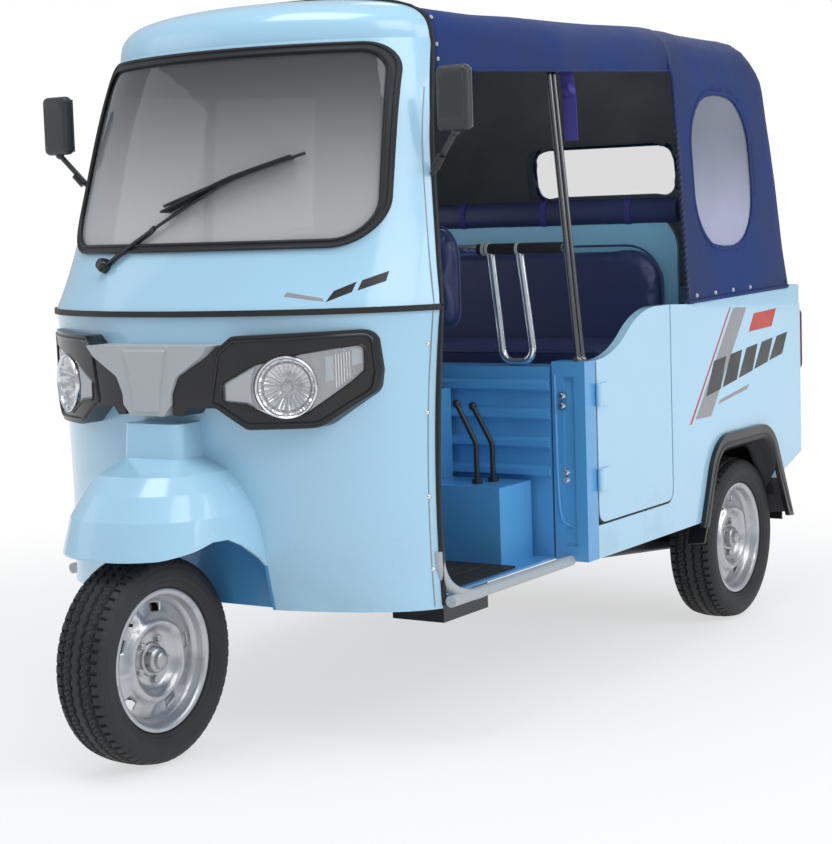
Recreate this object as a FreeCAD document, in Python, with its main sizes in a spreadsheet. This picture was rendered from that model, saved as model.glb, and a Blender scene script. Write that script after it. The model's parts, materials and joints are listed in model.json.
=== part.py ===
import FreeCAD, Part

import math
import os

import Sketcher
from FreeCAD import Rotation, Vector

# Three-wheeled passenger auto rickshaw, standing on its wheels.
# X runs across the vehicle with its left side at +X, +Y runs towards the rear, +Z is up.
# The sizes below place everything from the front axle; each finished piece is then shifted
# along Y, so that the origin is on the ground at the middle of the whole length.

# Driving sizes in millimetres, angles in degrees
SIZES = [
    # whole vehicle
    ("wheelbase", 2095),
    ("sheet", 12),
    ("overrun", 40),
    ("fit_gap", 0.3),
    # wheels
    ("tyre_radius", 247),
    ("tyre_half", 72),
    ("tread_half", 57),
    ("shoulder_drop", 9),
    ("rim_radius", 169),
    ("rim_half", 56),
    ("rim_lip", 6),
    ("rim_well", 14),
    ("disc_face", 12),
    ("disc_ring_radius", 104),
    ("disc_ring_face", 34),
    ("hub_face", 20),
    ("hub_radius", 46),
    ("hub_cap_radius", 27),
    ("hub_cap_face", 44),
    ("slot_radius", 9),
    ("slot_ring", 132),
    ("wheel_gap", 8),
    # cab plan at six heights: level, half width, depth, nose and door edge behind the nose
    ("hem_level", 335),
    ("hem_half", 580),
    ("hem_depth", 235),
    ("hem_nose", 217),
    ("hem_edge", 193),
    ("knee_level", 632),
    ("knee_half", 590),
    ("knee_depth", 380),
    ("knee_nose", 150),
    ("knee_edge", 262),
    ("belt_level", 1046),
    ("belt_half", 600),
    ("belt_depth", 400),
    ("belt_nose", 122),
    ("belt_edge", 298),
    ("brow_level", 1210),
    ("brow_half", 576),
    ("brow_depth", 370),
    ("brow_nose", 200),
    ("brow_edge", 261),
    ("eye_level", 1431),
    ("eye_half", 545),
    ("eye_depth", 340),
    ("eye_nose", 271),
    ("eye_edge", 233),
    ("header_level", 1680),
    ("header_half", 493),
    ("header_depth", 310),
    ("header_nose", 352),
    ("header_edge", 233),
    ("belt_strip", 14),
    ("belt_proud", 7),
    # roof cap
    ("roof_rise", 123),
    # windscreen
    ("screen_bottom", 1190),
    ("screen_top", 1672),
    ("screen_low_half", 484),
    ("screen_high_half", 448),
    ("screen_low_corner", 105),
    ("screen_high_corner", 80),
    ("gasket_width", 22),
    ("gasket_proud", 7),
    ("glass_thickness", 6),
    ("wiper_x", 250),
    ("wiper_pivot_level", 1158),
    ("wiper_lift", 14),
    ("wiper_rod", 4),
    ("wiper_spindle", 12),
    ("wiper_arm", 415),
    ("wiper_blade", 380),
    # lamp bezels and nose plate
    ("bezel_front", 50),
    ("bezel_side", 296),
    ("bezel_inner", 70),
    ("bezel_outer", 496),
    ("bezel_low", 781),
    ("bezel_high", 1008),
    ("bezel_round", 22),
    ("lamp_x", 330),
    ("lamp_level", 877),
    ("lamp_radius", 70),
    ("lamp_bowl_depth", 55),
    ("lamp_inner", 195),
    ("lamp_outer", 472),
    ("lamp_low", 806),
    ("lamp_high", 971),
    ("lamp_recess", 4),
    ("lamp_seat", 0.4),
    ("lens_thick", 3),
    ("plate_front", 46),
    ("plate_side", 68),
    ("plate_top", 976),
    ("plate_bottom", 813),
    ("plate_high_half", 182),
    ("plate_low_half", 50),
    # neck and front fender
    ("neck_half", 85),
    ("neck_top", 793),
    ("neck_front", 55),
    ("neck_foot", 712),
    ("neck_foot_front", 48),
    ("neck_corner", 24),
    ("fender_tip", 150),
    ("fender_tip_level", 505),
    ("fender_half", 212),
    ("fender_back", 264),
    ("fender_tail_level", 396),
    ("fender_low_level", 330),
    ("fender_brow_level", 585),
    ("fender_brow_half", 200),
    ("fender_brow_front", -125),
    ("fender_slope_level", 641),
    ("fender_slope_half", 175),
    ("fender_slope_front", -87),
    ("fender_crown_level", 680),
    ("fender_crown_half", 148),
    ("fender_crown_front", -47),
    ("fender_lip_level", 497),
    ("fender_side_level", 532),
    ("fender_wall", 8),
    # steering
    ("rake_angle", 20),
    ("steer_low_y", 60),
    ("steer_low_level", 494),
    ("column_radius", 24),
    ("column_foot", 552),
    ("column_head", 985),
    ("crown_plate", 16),
    ("fork_x", 104),
    ("fork_thick", 26),
    ("arm_pivot_y", 176),
    ("arm_pivot_level", 300),
    ("axle_radius", 14),
    ("damper_radius", 22),
    ("drum_radius", 88),
    ("bar_half", 250),
    ("bar_middle", 92),
    ("bar_sweep", 140),
    ("bar_bend", 62),
    ("bar_radius", 13),
    ("bar_level", 1004),
    ("grip_radius", 17),
    ("grip_length", 120),
    ("steer_pod_half", 75),
    ("steer_pod_depth", 70),
    ("steer_pod_height", 50),
    ("drum_back", 32),
    ("disc_sheet", 5),
    ("bearing_gap", 0.3),
    ("head_length", 42),
    ("running_gap", 6),
    ("dash_rear", 170),
    ("dash_bottom", 880),
    ("dash_top", 972),
    # floor, sills, chassis
    ("floor_level", 352),
    ("floor_sheet", 6),
    ("mat_thick", 6),
    ("floor_gap", 3),
    ("floor_front", 330),
    ("sill_radius", 14),
    ("sill_in", 53),
    ("rail_half", 300),
    ("rail_width", 50),
    ("rail_depth", 62),
    ("rail_front", 565),
    ("tank_length", 215),
    ("tank_width", 150),
    ("tank_depth", 90),
    # bulkhead behind the driver, step box, pillars
    ("bulkhead_y", 1012),
    ("bulkhead_rib", 16),
    ("ledge_level", 858),
    ("ledge_depth", 95),
    ("step_y", 830),
    ("step_half", 488),
    ("step_height", 203),
    ("lever_height", 207),
    ("lever_radius", 7),
    ("lever_bend", 56),
    ("pillar_width", 96),
    ("pillar_depth", 61),
    # side bodies
    ("side_half", 645),
    ("side_sheet", 24),
    ("door_back", 565),
    ("door_corner", 34),
    ("door_bottom", 443),
    ("door_front_top", 872),
    ("side_top", 992),
    ("side_rear_top", 946),
    ("side_bottom", 350),
    ("rear_reach", 408),
    ("rear_bottom", 470),
    ("shut_gap", 6),
    ("arch_foot_ahead", 383),
    ("arch_top_ahead", 262),
    ("arch_top_behind", 121),
    ("arch_foot_behind", 282),
    ("arch_foot_level", 290),
    ("arch_top", 556),
    ("arch_corner", 112),
    ("liner_sheet", 6),
    ("flare_width", 36),
    ("flare_proud", 14),
    ("flare_front_level", 343),
    ("flare_rear_level", 272),
    ("hinge_radius", 9),
    ("hinge_length", 58),
    ("rear_panel", 24),
    ("plate_hole_span", 240),
    ("plate_hole_level", 640),
    ("plate_hole_radius", 3.3),
    ("deck_level", 700),
    ("wheelhouse_gap", 36),
    # seats
    ("seat_half", 250),
    ("seat_front", 640),
    ("seat_rear", 980),
    ("seat_level", 800),
    ("seat_pad", 85),
    ("rest_half", 300),
    ("rest_bottom", 952),
    ("rest_top", 1240),
    ("rest_pad", 62),
    ("bench_gap", 61),
    ("bench_length", 413),
    ("bench_back", 350),
    ("bench_level", 800),
    ("bench_pad", 92),
    ("bench_rest_top", 1160),
    ("bench_rest_pad", 88),
    ("panel_top", 1250),
    ("panel_corner", 110),
    # partition guard and posts
    ("guard_level", 1165),
    ("guard_bar", 13),
    ("guard_tube", 10),
    ("guard_bend", 34),
    ("post_radius", 11),
    ("post_gap", 42),
    ("post_in", 27),
    ("post_lean", 68),
    ("post_clear", 4),
    # canopy
    ("canopy_wall", 9),
    ("split_back", 420),
    ("valance_front_level", 1602),
    ("valance_rear_level", 1643),
    ("valance_post_level", 1616),
    ("canopy_proud", 5),
    ("canopy_post_in", 63),
    ("canopy_mid_in", 45),
    ("canopy_front_top", 1790),
    ("canopy_post_top", 1787),
    ("canopy_top", 1805),
    ("canopy_rear_top", 1795),
    ("canopy_shoulder", 105),
    ("canopy_front_shoulder", 62),
    ("canopy_crown", 38),
    ("canopy_rake", 150),
    ("canopy_tail", 220),
    # windows of the canopy
    ("oval_back", 278),
    ("oval_level", 1364),
    ("oval_half_length", 208),
    ("oval_half_height", 221),
    ("oval_corner", 160),
    ("rear_window_half", 290),
    ("rear_window_level", 1372),
    ("rear_window_half_height", 96),
    ("film", 3),
    # mirrors
    ("mirror_x", 612),
    ("mirror_y", 462),
    ("mirror_level", 1525),
    ("mirror_half_height", 76),
    ("mirror_half_width", 44),
    ("mirror_depth", 34),
    ("mirror_rod", 7),
    ("mirror_clamp_level", 1353),
    # rear of the body
    ("bumper_radius", 26),
    ("bumper_level", 505),
    ("bumper_in", 85),
    ("lamp_rear_level", 830),
    ("lamp_rear_half_width", 48),
    ("lamp_rear_half_height", 92),
    ("lamp_rear_depth", 26),
    ("flap_bottom", 262),
    ("flap_half", 85),
    ("flap_thick", 6),
    # engine, driveline, exhaust
    ("engine_length", 420),
    ("engine_half", 210),
    ("engine_bottom", 215),
    ("engine_height", 330),
    ("engine_ahead", 105),
    ("shaft_radius", 16),
    ("arm_length", 435),
    ("arm_tube", 28),
    ("arm_x", 330),
    ("exhaust_radius", 62),
    ("exhaust_half", 190),
]

doc = FreeCAD.newDocument("auto_rickshaw")
sheet = doc.addObject("Spreadsheet::Sheet", "Sizes")
for number, (alias, size) in enumerate(SIZES, start=1):
    sheet.set("A%d" % number, alias)
    sheet.set("B%d" % number, str(size))
    sheet.setAlias("B%d" % number, alias)
doc.recompute()


class Sum:
    """A size or a sum of sizes: its present number, and the formula that ties a property to it."""

    def __init__(self, number, text):
        self.number = number
        self.text = text

    def __float__(self):
        return self.number

    def __add__(self, other):
        return Sum(self.number + float(other), "(%s + %s)" % (self.text, wording(other)))

    def __sub__(self, other):
        return Sum(self.number - float(other), "(%s - %s)" % (self.text, wording(other)))

    def __rsub__(self, other):
        return Sum(float(other) - self.number, "(%s - %s)" % (wording(other), self.text))

    def __mul__(self, other):
        return Sum(self.number * float(other), "(%s * %s)" % (self.text, wording(other)))

    def __truediv__(self, other):
        return Sum(self.number / float(other), "(%s / %s)" % (self.text, wording(other)))

    def __neg__(self):
        return Sum(-self.number, "(-%s)" % self.text)

    __radd__ = __add__
    __rmul__ = __mul__


def wording(item):
    return item.text if isinstance(item, Sum) else repr(float(item))


class Sizes:
    """The sheet's cells, read by their names."""

    def __getattr__(self, alias):
        return Sum(float(getattr(sheet, alias)), "Sizes." + alias)


s = Sizes()

# Places that follow from other sizes
side_rear = s.wheelbase + s.rear_reach
door_rear = s.wheelbase - s.door_back
bench_rear = s.wheelbase - s.bench_back
bench_front = bench_rear - s.bench_length
canopy_split = s.wheelbase - s.split_back
oval_y = canopy_split + s.oval_back
engine_front = s.wheelbase - s.engine_ahead
arm_front = s.wheelbase - s.arm_length
pillar_rear = s.bulkhead_y + s.pillar_depth
post_y = s.bulkhead_y + s.pillar_depth / 2
cab_edge = s.header_nose + s.header_edge
step_top = s.floor_level + s.floor_sheet + s.step_height
side_inner = s.side_half - s.side_sheet
bulkhead_half = s.side_half - s.pillar_width - s.shut_gap
bench_half = side_inner - s.bench_gap
rear_half_track = side_inner - s.wheel_gap - s.tyre_half
wheelhouse_in = rear_half_track - s.tyre_half - s.wheelhouse_gap
canopy_front_half = s.header_half - s.canopy_wall
canopy_post_half = s.side_half - s.canopy_post_in
canopy_mid_half = s.side_half - s.canopy_mid_in
canopy_low_half = s.side_half + s.canopy_proud
shift = (s.tyre_radius - side_rear - s.bumper_radius * 2) / 2
nodes = []

ALONG_X = Rotation(Vector(0, 1, 0), 90)
ALONG_Y = Rotation(Vector(1, 0, 0), -90)


def bind(item, name, size):
    """Tie a property to the sheet."""
    item.setExpression(name, wording(size))


def place(item, x=0, y=0, z=0):
    bind(item, "Placement.Base.x", x)
    bind(item, "Placement.Base.y", y)
    bind(item, "Placement.Base.z", z)


def node(item, label, x=0, y=0, z=0):
    """Name a finished sub-part and shift it from the front axle's frame to the origin."""
    item.Label = label
    place(item, x, shift + y, z)
    nodes.append(item)
    return item


def node_as_placed(item, label):
    """Name a finished sub-part that is made from pieces already in their place."""
    item.Label = label
    nodes.append(item)
    return item


def feature(shape, label):
    """A sub-part whose curved shape is worked out from the sheet in this file."""
    item = doc.addObject("Part::Feature", label)
    item.Shape = shape
    return node(item, label)


def spot(x, y, z):
    return Vector(float(x), float(y), float(z))


# Part primitives and booleans

def block(name, corner, size):
    """A box from its low corner and its three sizes."""
    item = doc.addObject("Part::Box", name)
    bind(item, "Length", size[0])
    bind(item, "Width", size[1])
    bind(item, "Height", size[2])
    place(item, *corner)
    return item


def rod(name, base, length, radius, turn=None):
    """A round bar from its base point, along Z or turned to another axis."""
    item = doc.addObject("Part::Cylinder", name)
    bind(item, "Radius", radius)
    bind(item, "Height", length)
    if turn:
        item.Placement = FreeCAD.Placement(Vector(), turn)
    place(item, *base)
    return item


def joined(name, *items):
    item = doc.addObject("Part::MultiFuse", name)
    item.Shapes = list(items)
    item.Refine = True
    return item


def group(name, *items):
    """Pieces that don't touch, kept in one sub-part."""
    item = doc.addObject("Part::Compound", name)
    item.Links = list(items)
    return item


def without(name, base, *tools):
    """A piece less one or more others."""
    item = doc.addObject("Part::Cut", name)
    item.Base = base
    item.Tool = tools[0] if len(tools) == 1 else group(name + "_tools", *tools)
    item.Refine = True
    return item


def mirrored(name, source):
    """The same piece on the other side of the vehicle."""
    item = doc.addObject("Part::Mirroring", name)
    item.Source = source
    item.Normal = Vector(1, 0, 0)
    return item


def pair(name, source):
    """A piece and its mirror image, kept in one sub-part."""
    return group(name, source, mirrored(name + "_other", source))


# Sketched bodies

def body(name):
    return doc.addObject("PartDesign::Body", name)


def origin_of(item, role):
    return next(part for part in item.Origin.OriginFeatures if part.Role == role)


def outline(item, name, role, points, offset=0):
    """A closed sketch on one of the body's planes.

    Each corner is a pair of sizes, and a corner of four is followed by an arc through its last pair.
    """
    sketch = item.newObject("Sketcher::SketchObject", name)
    sketch.AttachmentSupport = [(origin_of(item, role), "")]
    sketch.MapMode = "FlatFace"
    sketch.setExpression("AttachmentOffset.Base.z", wording(offset))
    spots = [spot(corner[0], corner[1], 0) for corner in points]
    count = len(spots)
    first_ends = []
    for index, corner in enumerate(points):
        start, end = spots[index], spots[(index + 1) % count]
        if len(corner) == 4:
            sketch.addGeometry(Part.Arc(start, spot(corner[2], corner[3], 0), end), False)
        else:
            sketch.addGeometry(Part.LineSegment(start, end), False)
        near = sketch.getPoint(index, 1).distanceToPoint(start)
        far = sketch.getPoint(index, 1).distanceToPoint(end)
        first_ends.append(1 if near < far else 2)
    for index, corner in enumerate(points):
        following = (index + 1) % count
        last_end = 3 - first_ends[index]
        sketch.addConstraint(
            Sketcher.Constraint("Coincident", index, last_end, following, first_ends[following]))
        fix_point(sketch, index, first_ends[index], corner[:2])
        if len(corner) == 4:
            middle = sketch.addGeometry(Part.Point(spot(corner[2], corner[3], 0)), True)
            sketch.addConstraint(Sketcher.Constraint("PointOnObject", middle, 1, index))
            fix_point(sketch, middle, 1, corner[2:])
    return sketch


def fix_point(sketch, index, end, corner):
    """Hold a point of the sketch at its two sizes."""
    for kind, size in zip(("DistanceX", "DistanceY"), corner):
        row = sketch.addConstraint(Sketcher.Constraint(kind, -1, 1, index, end, float(size)))
        sketch.setExpression("Constraints[%d]" % row, wording(size))


def pad(item, sketch, length, middle=False, back=False):
    step = item.newObject("PartDesign::Pad", sketch.Name + "_pad")
    step.Profile = sketch
    step.Midplane = middle
    step.Reversed = back
    bind(step, "Length", length)
    return step


def turned(item, sketch, role="X_Axis"):
    """A sketch turned once round one of the body's axes."""
    step = item.newObject("PartDesign::Revolution", sketch.Name + "_turned")
    step.Profile = sketch
    step.ReferenceAxis = (origin_of(item, role), [""])
    step.Angle = 360
    return step


def rounded(item, step, radius, test):
    """Fillet the edges of the last step that a test picks by their direction and middle."""
    doc.recompute()
    names = []
    for number, edge in enumerate(step.Shape.Edges, start=1):
        run = edge.Vertexes[-1].Point - edge.Vertexes[0].Point
        if test(run, edge.CenterOfMass):
            names.append("Edge%d" % number)
    fillet = item.newObject("PartDesign::Fillet", step.Name + "_rounded")
    fillet.Base = (step, names)
    bind(fillet, "Radius", radius)
    return fillet


# Curved shapes worked out with Part

def wire(points):
    """A closed wire of straight edges."""
    return Part.makePolygon(points + points[:1])


def tube(points, radius, bend):
    """A round bar along straight runs with an arc at each inner point."""
    edges = []
    start = points[0]
    for before, corner, after in zip(points, points[1:], points[2:]):
        into = (before - corner).normalize()
        away = (after - corner).normalize()
        half_turn = (math.pi - into.getAngle(away)) / 2
        reach = float(bend) * math.tan(half_turn)
        first = corner + into * reach
        last = corner + away * reach
        bisector = (into + away).normalize()
        centre = corner + bisector * (float(bend) / math.cos(half_turn))
        middle = centre - bisector * float(bend)
        edges.append(Part.LineSegment(start, first).toShape())
        edges.append(Part.Arc(first, middle, last).toShape())
        start = last
    edges.append(Part.LineSegment(start, points[-1]).toShape())
    path = Part.Wire(edges)
    ring = Part.Circle(points[0], points[1] - points[0], float(radius)).toShape()
    return path.makePipeShell([Part.Wire(ring)], True, False)


def ellipse_arc(level, half, depth, middle, share, trim=0):
    """Part of an ellipse in plan whose ends lie at a share of its depth before its middle."""
    centre = spot(0, middle, level)
    curve = Part.Ellipse(centre, float(half) - float(trim), float(depth) - float(trim))
    start = math.asin(share) - math.pi
    return Part.ArcOfEllipse(curve, start, -math.asin(share)).toShape()


def cab_section(row, outside=0, inside=0):
    """A slice of the cab's wall at one height, from door edge round the nose to door edge."""
    level, half, depth, nose, edge = row
    middle = nose + depth
    share = float(middle - nose - edge) / float(depth)
    outer = ellipse_arc(level, half, depth, middle, share, -float(outside))
    inner = ellipse_arc(level, half, depth, middle, share, inside)
    ends = [
        Part.LineSegment(outer.Vertexes[-1].Point, inner.Vertexes[-1].Point).toShape(),
        Part.LineSegment(inner.Vertexes[0].Point, outer.Vertexes[0].Point).toShape(),
    ]
    return Part.Wire(Part.__sortEdges__([outer, ends[0], inner, ends[1]]))


def between(low, high, level):
    """The row of cab sizes at a height between two others."""
    share = float(level - low[0]) / float(high[0] - low[0])
    return tuple(a + (b - a) * share for a, b in zip(low, high))


def cab_rows():
    names = ("hem", "knee", "belt", "brow", "eye", "header")
    keys = ("level", "half", "depth", "nose", "edge")
    return {name: tuple(getattr(s, name + "_" + key) for key in keys) for name in names}


rows = cab_rows()
below_belt = (s.belt_level - s.belt_strip / 2,) + rows["belt"][1:]
above_belt = (s.belt_level + s.belt_strip / 2,) + rows["belt"][1:]
COWL_ROWS = [rows["hem"], rows["knee"], below_belt]
FRAME_ROWS = [above_belt, rows["brow"], rows["eye"], rows["header"]]


def cab_wall(sections, outside=0, inside=0):
    return Part.makeLoft([cab_section(row, outside, inside) for row in sections], True, False)


def slab(front_wire, start, depth):
    """A front view outline, drawn at a place along Y and carried rearwards."""
    flat = Part.Face(front_wire)
    flat.translate(spot(0, start, 0))
    return flat.extrude(spot(0, depth, 0))


def round_corners(points, radii):
    """A closed wire through points, with an arc at each corner whose radius isn't zero."""
    edges = []
    count = len(points)
    ends = []
    for index, corner in enumerate(points):
        into = (points[index - 1] - corner).normalize()
        away = (points[(index + 1) % count] - corner).normalize()
        radius = float(radii[index])
        half_turn = (math.pi - into.getAngle(away)) / 2
        reach = radius * math.tan(half_turn)
        bisector = (into + away).normalize()
        middle = corner + bisector * (radius / math.cos(half_turn) - radius)
        ends.append((corner + into * reach, middle, corner + away * reach))
    for index, (first, middle, last) in enumerate(ends):
        if radii[index]:
            edges.append(Part.Arc(first, middle, last).toShape())
        edges.append(Part.LineSegment(last, ends[(index + 1) % count][0]).toShape())
    return Part.Wire(edges)


# Wheels

def tyre(label, x, y):
    item = body(label)
    bead = s.rim_half - s.rim_lip
    middle = (s.rim_radius + s.tyre_radius) / 2
    shoulder = s.tyre_radius - s.shoulder_drop
    seat = s.rim_radius + s.fit_gap
    ring = outline(item, label + "_ring", "XY_Plane", [
        (-bead, seat, -s.tyre_half, middle),
        (-s.tread_half, shoulder, 0, s.tyre_radius),
        (s.tread_half, shoulder, s.tyre_half, middle),
        (bead, seat),
    ])
    turned(item, ring)
    return node(item, label, x, y, s.tyre_radius)


def wheel(label, x, y, outward=1):
    """A pressed disc wheel with its brake drum; its open side faces outward."""
    item = body(label)
    well = s.rim_radius - s.rim_well
    inner = well - s.disc_sheet
    lip = s.rim_half - s.rim_lip
    step = lip - s.rim_lip
    profile = outline(item, label + "_profile", "XY_Plane", [
        (-s.rim_half, s.rim_radius),
        (-lip, s.rim_radius),
        (-step, well),
        (step, well),
        (lip, s.rim_radius),
        (s.rim_half, s.rim_radius),
        (s.rim_half, s.rim_radius - s.rim_lip),
        (step, inner),
        (s.disc_face + s.disc_sheet, inner),
        (s.disc_ring_face, s.disc_ring_radius),
        (s.hub_face, s.hub_radius),
        (s.hub_face, s.hub_cap_radius),
        (s.hub_cap_face, s.hub_cap_radius - s.rim_lip),
        (s.hub_cap_face, 0),
        (-s.drum_back, 0),
        (-s.drum_back, s.drum_radius),
        (s.disc_ring_face - s.disc_sheet, s.drum_radius),
        (s.disc_ring_face - s.disc_sheet, s.disc_ring_radius),
        (s.disc_face, inner),
        (-step, inner),
        (-s.rim_half, s.rim_radius - s.rim_lip),
    ])
    turned(item, profile)
    slots = item.newObject("Sketcher::SketchObject", label + "_slot")
    slots.AttachmentSupport = [(origin_of(item, "YZ_Plane"), "")]
    slots.MapMode = "FlatFace"
    slots.addGeometry(Part.Circle(spot(0, s.slot_ring, 0), Vector(0, 0, 1), float(s.slot_radius)), False)
    fix_point(slots, 0, 3, (0, s.slot_ring))
    row = slots.addConstraint(Sketcher.Constraint("Radius", 0, float(s.slot_radius)))
    slots.setExpression("Constraints[%d]" % row, wording(s.slot_radius))
    cut = item.newObject("PartDesign::Pocket", label + "_slot_cut")
    cut.Profile = slots
    cut.Midplane = True
    bind(cut, "Length", s.rim_half * 2)
    ring = item.newObject("PartDesign::PolarPattern", label + "_slots")
    ring.Originals = [cut]
    ring.Axis = (origin_of(item, "X_Axis"), [""])
    ring.Angle = 360
    ring.Occurrences = 12
    item.Tip = ring
    if outward < 0:
        item.Placement = FreeCAD.Placement(Vector(), Rotation(Vector(0, 0, 1), 180))
    return node(item, label, x, y, s.tyre_radius)


def wheels():
    tyre("front_tyre", 0, 0)
    wheel("front_rim", 0, 0)
    tyre("rear_tyre_left", rear_half_track, s.wheelbase)
    wheel("rear_rim_left", rear_half_track, s.wheelbase)
    tyre("rear_tyre_right", -rear_half_track, s.wheelbase)
    wheel("rear_rim_right", -rear_half_track, s.wheelbase, outward=-1)


# Cab

def fender_solid(trim):
    """The bell of the front fender and its neck, filled, less a trim all round."""
    sections = [
        (s.fender_low_level, s.fender_half, -s.fender_tip, s.fender_half * BELL_SHARE),
        (s.fender_tip_level, s.fender_half, -s.fender_tip, s.fender_half * BELL_SHARE),
        (s.fender_brow_level, s.fender_brow_half, s.fender_brow_front, s.fender_brow_half * BELL_SHARE),
        (s.fender_slope_level, s.fender_slope_half, s.fender_slope_front, s.fender_slope_half * BELL_SHARE),
        (s.fender_crown_level, s.fender_crown_half, s.fender_crown_front, s.fender_crown_half * CROWN_SHARE),
        (s.neck_foot, s.neck_half, s.neck_foot_front, s.neck_corner),
        (s.neck_top, s.neck_half, s.neck_front, s.neck_corner),
    ]
    wires = []
    for index, (level, half, front, corner) in enumerate(sections):
        top = trim if index == len(sections) - 1 else 0
        wires.append(plan_bell(level - top, half - trim, front + trim, s.fender_back - trim, corner - trim))
    return Part.makeLoft(wires, True, True)


def plan_bell(level, half, front, back, corner):
    """A plan outline with its two front corners rounded and a straight back."""
    small = s.fender_wall / 4
    points = [spot(-half, front, level), spot(half, front, level), spot(half, back, level), spot(-half, back, level)]
    return round_corners(points, [corner, corner, small, small])


BELL_SHARE = 0.9
CROWN_SHARE = 0.8


def steer_y(level):
    """Where the raked steering axis stands at a height."""
    return float(s.steer_low_y) + float(level - s.steer_low_level) * math.tan(math.radians(s.rake_angle))


def steer_spot(level, x=0):
    return spot(x, steer_y(level), level)


def column_bore():
    foot = steer_spot(s.steer_low_level)
    head = steer_spot(s.column_head)
    radius = s.column_radius + s.running_gap
    return Part.makeCylinder(float(radius), (head - foot).Length, foot, head - foot)


def steering_head():
    """The bearing ring that carries the steering column at the top of the neck."""
    foot = steer_spot(s.neck_top - s.head_length)
    head = steer_spot(s.neck_top + s.head_length)
    ring = s.column_radius + s.running_gap + s.fit_gap
    outer = Part.makeCylinder(float(ring), (head - foot).Length, foot, head - foot)
    return outer.cut(Part.makeCylinder(float(s.column_radius + s.bearing_gap), (head - foot).Length, foot, head - foot))


def cab_filled(sections, trim=0):
    """The cab's outer form, filled back to its door edges."""
    solids = []
    for row in sections:
        level, half, depth, nose, edge = row
        middle = nose + depth
        share = float(middle - nose - edge) / float(depth)
        arc = ellipse_arc(level, half, depth, middle, share, trim)
        chord = Part.LineSegment(arc.Vertexes[-1].Point, arc.Vertexes[0].Point).toShape()
        solids.append(Part.Wire([arc, chord]))
    return Part.makeLoft(solids, True, False)


def screen_outline(trim):
    """Front view of the windscreen's rubber, less a trim."""
    low = s.screen_bottom + trim
    high = s.screen_top - trim
    low_half = s.screen_low_half - trim
    high_half = s.screen_high_half - trim
    corners = [spot(-low_half, 0, low), spot(low_half, 0, low), spot(high_half, 0, high),
               spot(-high_half, 0, high)]
    low_corner = s.screen_low_corner - trim
    high_corner = s.screen_high_corner - trim
    return round_corners(corners, [low_corner, low_corner, high_corner, high_corner])


def cab():
    reach = rows["header"][3] + rows["header"][2]
    bell = fender_solid(0)
    hollow_bell = bell.cut(fender_solid(s.fender_wall)).cut(column_bore())
    cowl_form = cab_filled(COWL_ROWS)
    cowl = cab_wall(COWL_ROWS, 0, s.sheet).cut(bell).cut(column_bore())
    feature(cowl, "front_cowl")
    front_lamps()

    lip = [(s.fender_back * along, s.fender_lip_level + (s.fender_side_level - s.fender_lip_level) * up)
           for along, up in LIP_SHARES]
    below_skirt = slab_side(lip + [
        (s.fender_back, s.fender_tail_level),
        (s.fender_back + s.overrun, s.fender_low_level - s.overrun),
        (-s.fender_tip - s.overrun, s.fender_low_level - s.overrun),
        (-s.fender_tip - s.overrun, s.fender_lip_level),
    ], s.fender_half + s.overrun)
    feature(hollow_bell.cut(cowl_form).cut(below_skirt), "front_fender")
    arch = hollow_bell.common(cowl_form).common(above_level(rows["hem"][0]))
    feature(arch.fuse(steering_head().common(bell)).removeSplitter(), "front_wheel_arch")

    opening = slab(screen_outline(0), 0, reach)
    frame = cab_wall(FRAME_ROWS, 0, s.sheet).cut(opening)
    feature(frame, "windscreen_frame")
    rubber = slab(screen_outline(0), 0, reach).cut(slab(screen_outline(s.gasket_width), 0, reach))
    gasket = cab_wall(FRAME_ROWS, s.gasket_proud, s.sheet + s.gasket_proud).common(rubber)
    feature(gasket, "windscreen_gasket")
    pane = cab_wall(FRAME_ROWS, 0, s.glass_thickness).common(slab(screen_outline(s.gasket_width), 0, reach))
    feature(pane, "windscreen_glass")

    band = Part.Face(cab_section(below_belt, s.belt_proud, s.sheet)).extrude(spot(0, 0, s.belt_strip))
    feature(band, "belt_moulding")


# how the fender's lower edge rises over the tyre and falls again, from front to back
LIP_SHARES = [(-0.4, 0.15), (-0.15, 0.55), (0.05, 1.0), (0.25, 0.95), (0.45, 0.3), (0.7, -0.9)]


def slab_side(corners, half):
    """A side view outline carried across the whole vehicle."""
    points = [spot(-half, y, z) for y, z in corners]
    return Part.Face(wire(points)).extrude(spot(half * 2, 0, 0))


def above_level(level):
    size = float(s.wheelbase)
    return Part.makeBox(size * 2, size * 2, size * 2, spot(-size, -size, level))


def roof_cap():
    """A crowned cap over the header with a tight shoulder, open below and behind."""
    level, half, depth, nose, edge = rows["header"]
    shell = crowned_dome(half, depth, s.roof_rise).cut(
        crowned_dome(half - s.sheet, depth - s.sheet, s.roof_rise - s.sheet))
    shell.translate(spot(0, nose + depth, level))
    size = float(half) * 2
    front = Part.makeBox(size, size, size, spot(-half, float(nose + edge) - size, level))
    feature(shell.common(front), "roof_cap")


def crowned_dome(half_x, half_y, rise):
    """A shape turned about Z from a shouldered profile, then stretched to its depth along Y."""
    spots = [spot(half_x * out, 0, rise * up) for out, up in ROOF_SHARES]
    profile = Part.BSplineCurve()
    profile.interpolate(spots)
    edges = [profile.toShape(), Part.LineSegment(spots[-1], Vector()).toShape(),
             Part.LineSegment(Vector(), spots[0]).toShape()]
    form = Part.Face(Part.Wire(edges)).revolve(Vector(), Vector(0, 0, 1), FULL_TURN)
    stretch = FreeCAD.Matrix()
    stretch.scale(1, float(half_y) / float(half_x), 1)
    return form.transformGeometry(stretch)


FULL_TURN = 360
# the roof's profile from the header's edge up over the shoulder to the crown
ROOF_SHARES = [(1.0, 0.0), (0.994, 0.17), (0.98, 0.34), (0.944, 0.51), (0.9, 0.62), (0.8, 0.745), (0.45, 0.91),
               (0.0, 1.0)]


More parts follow.
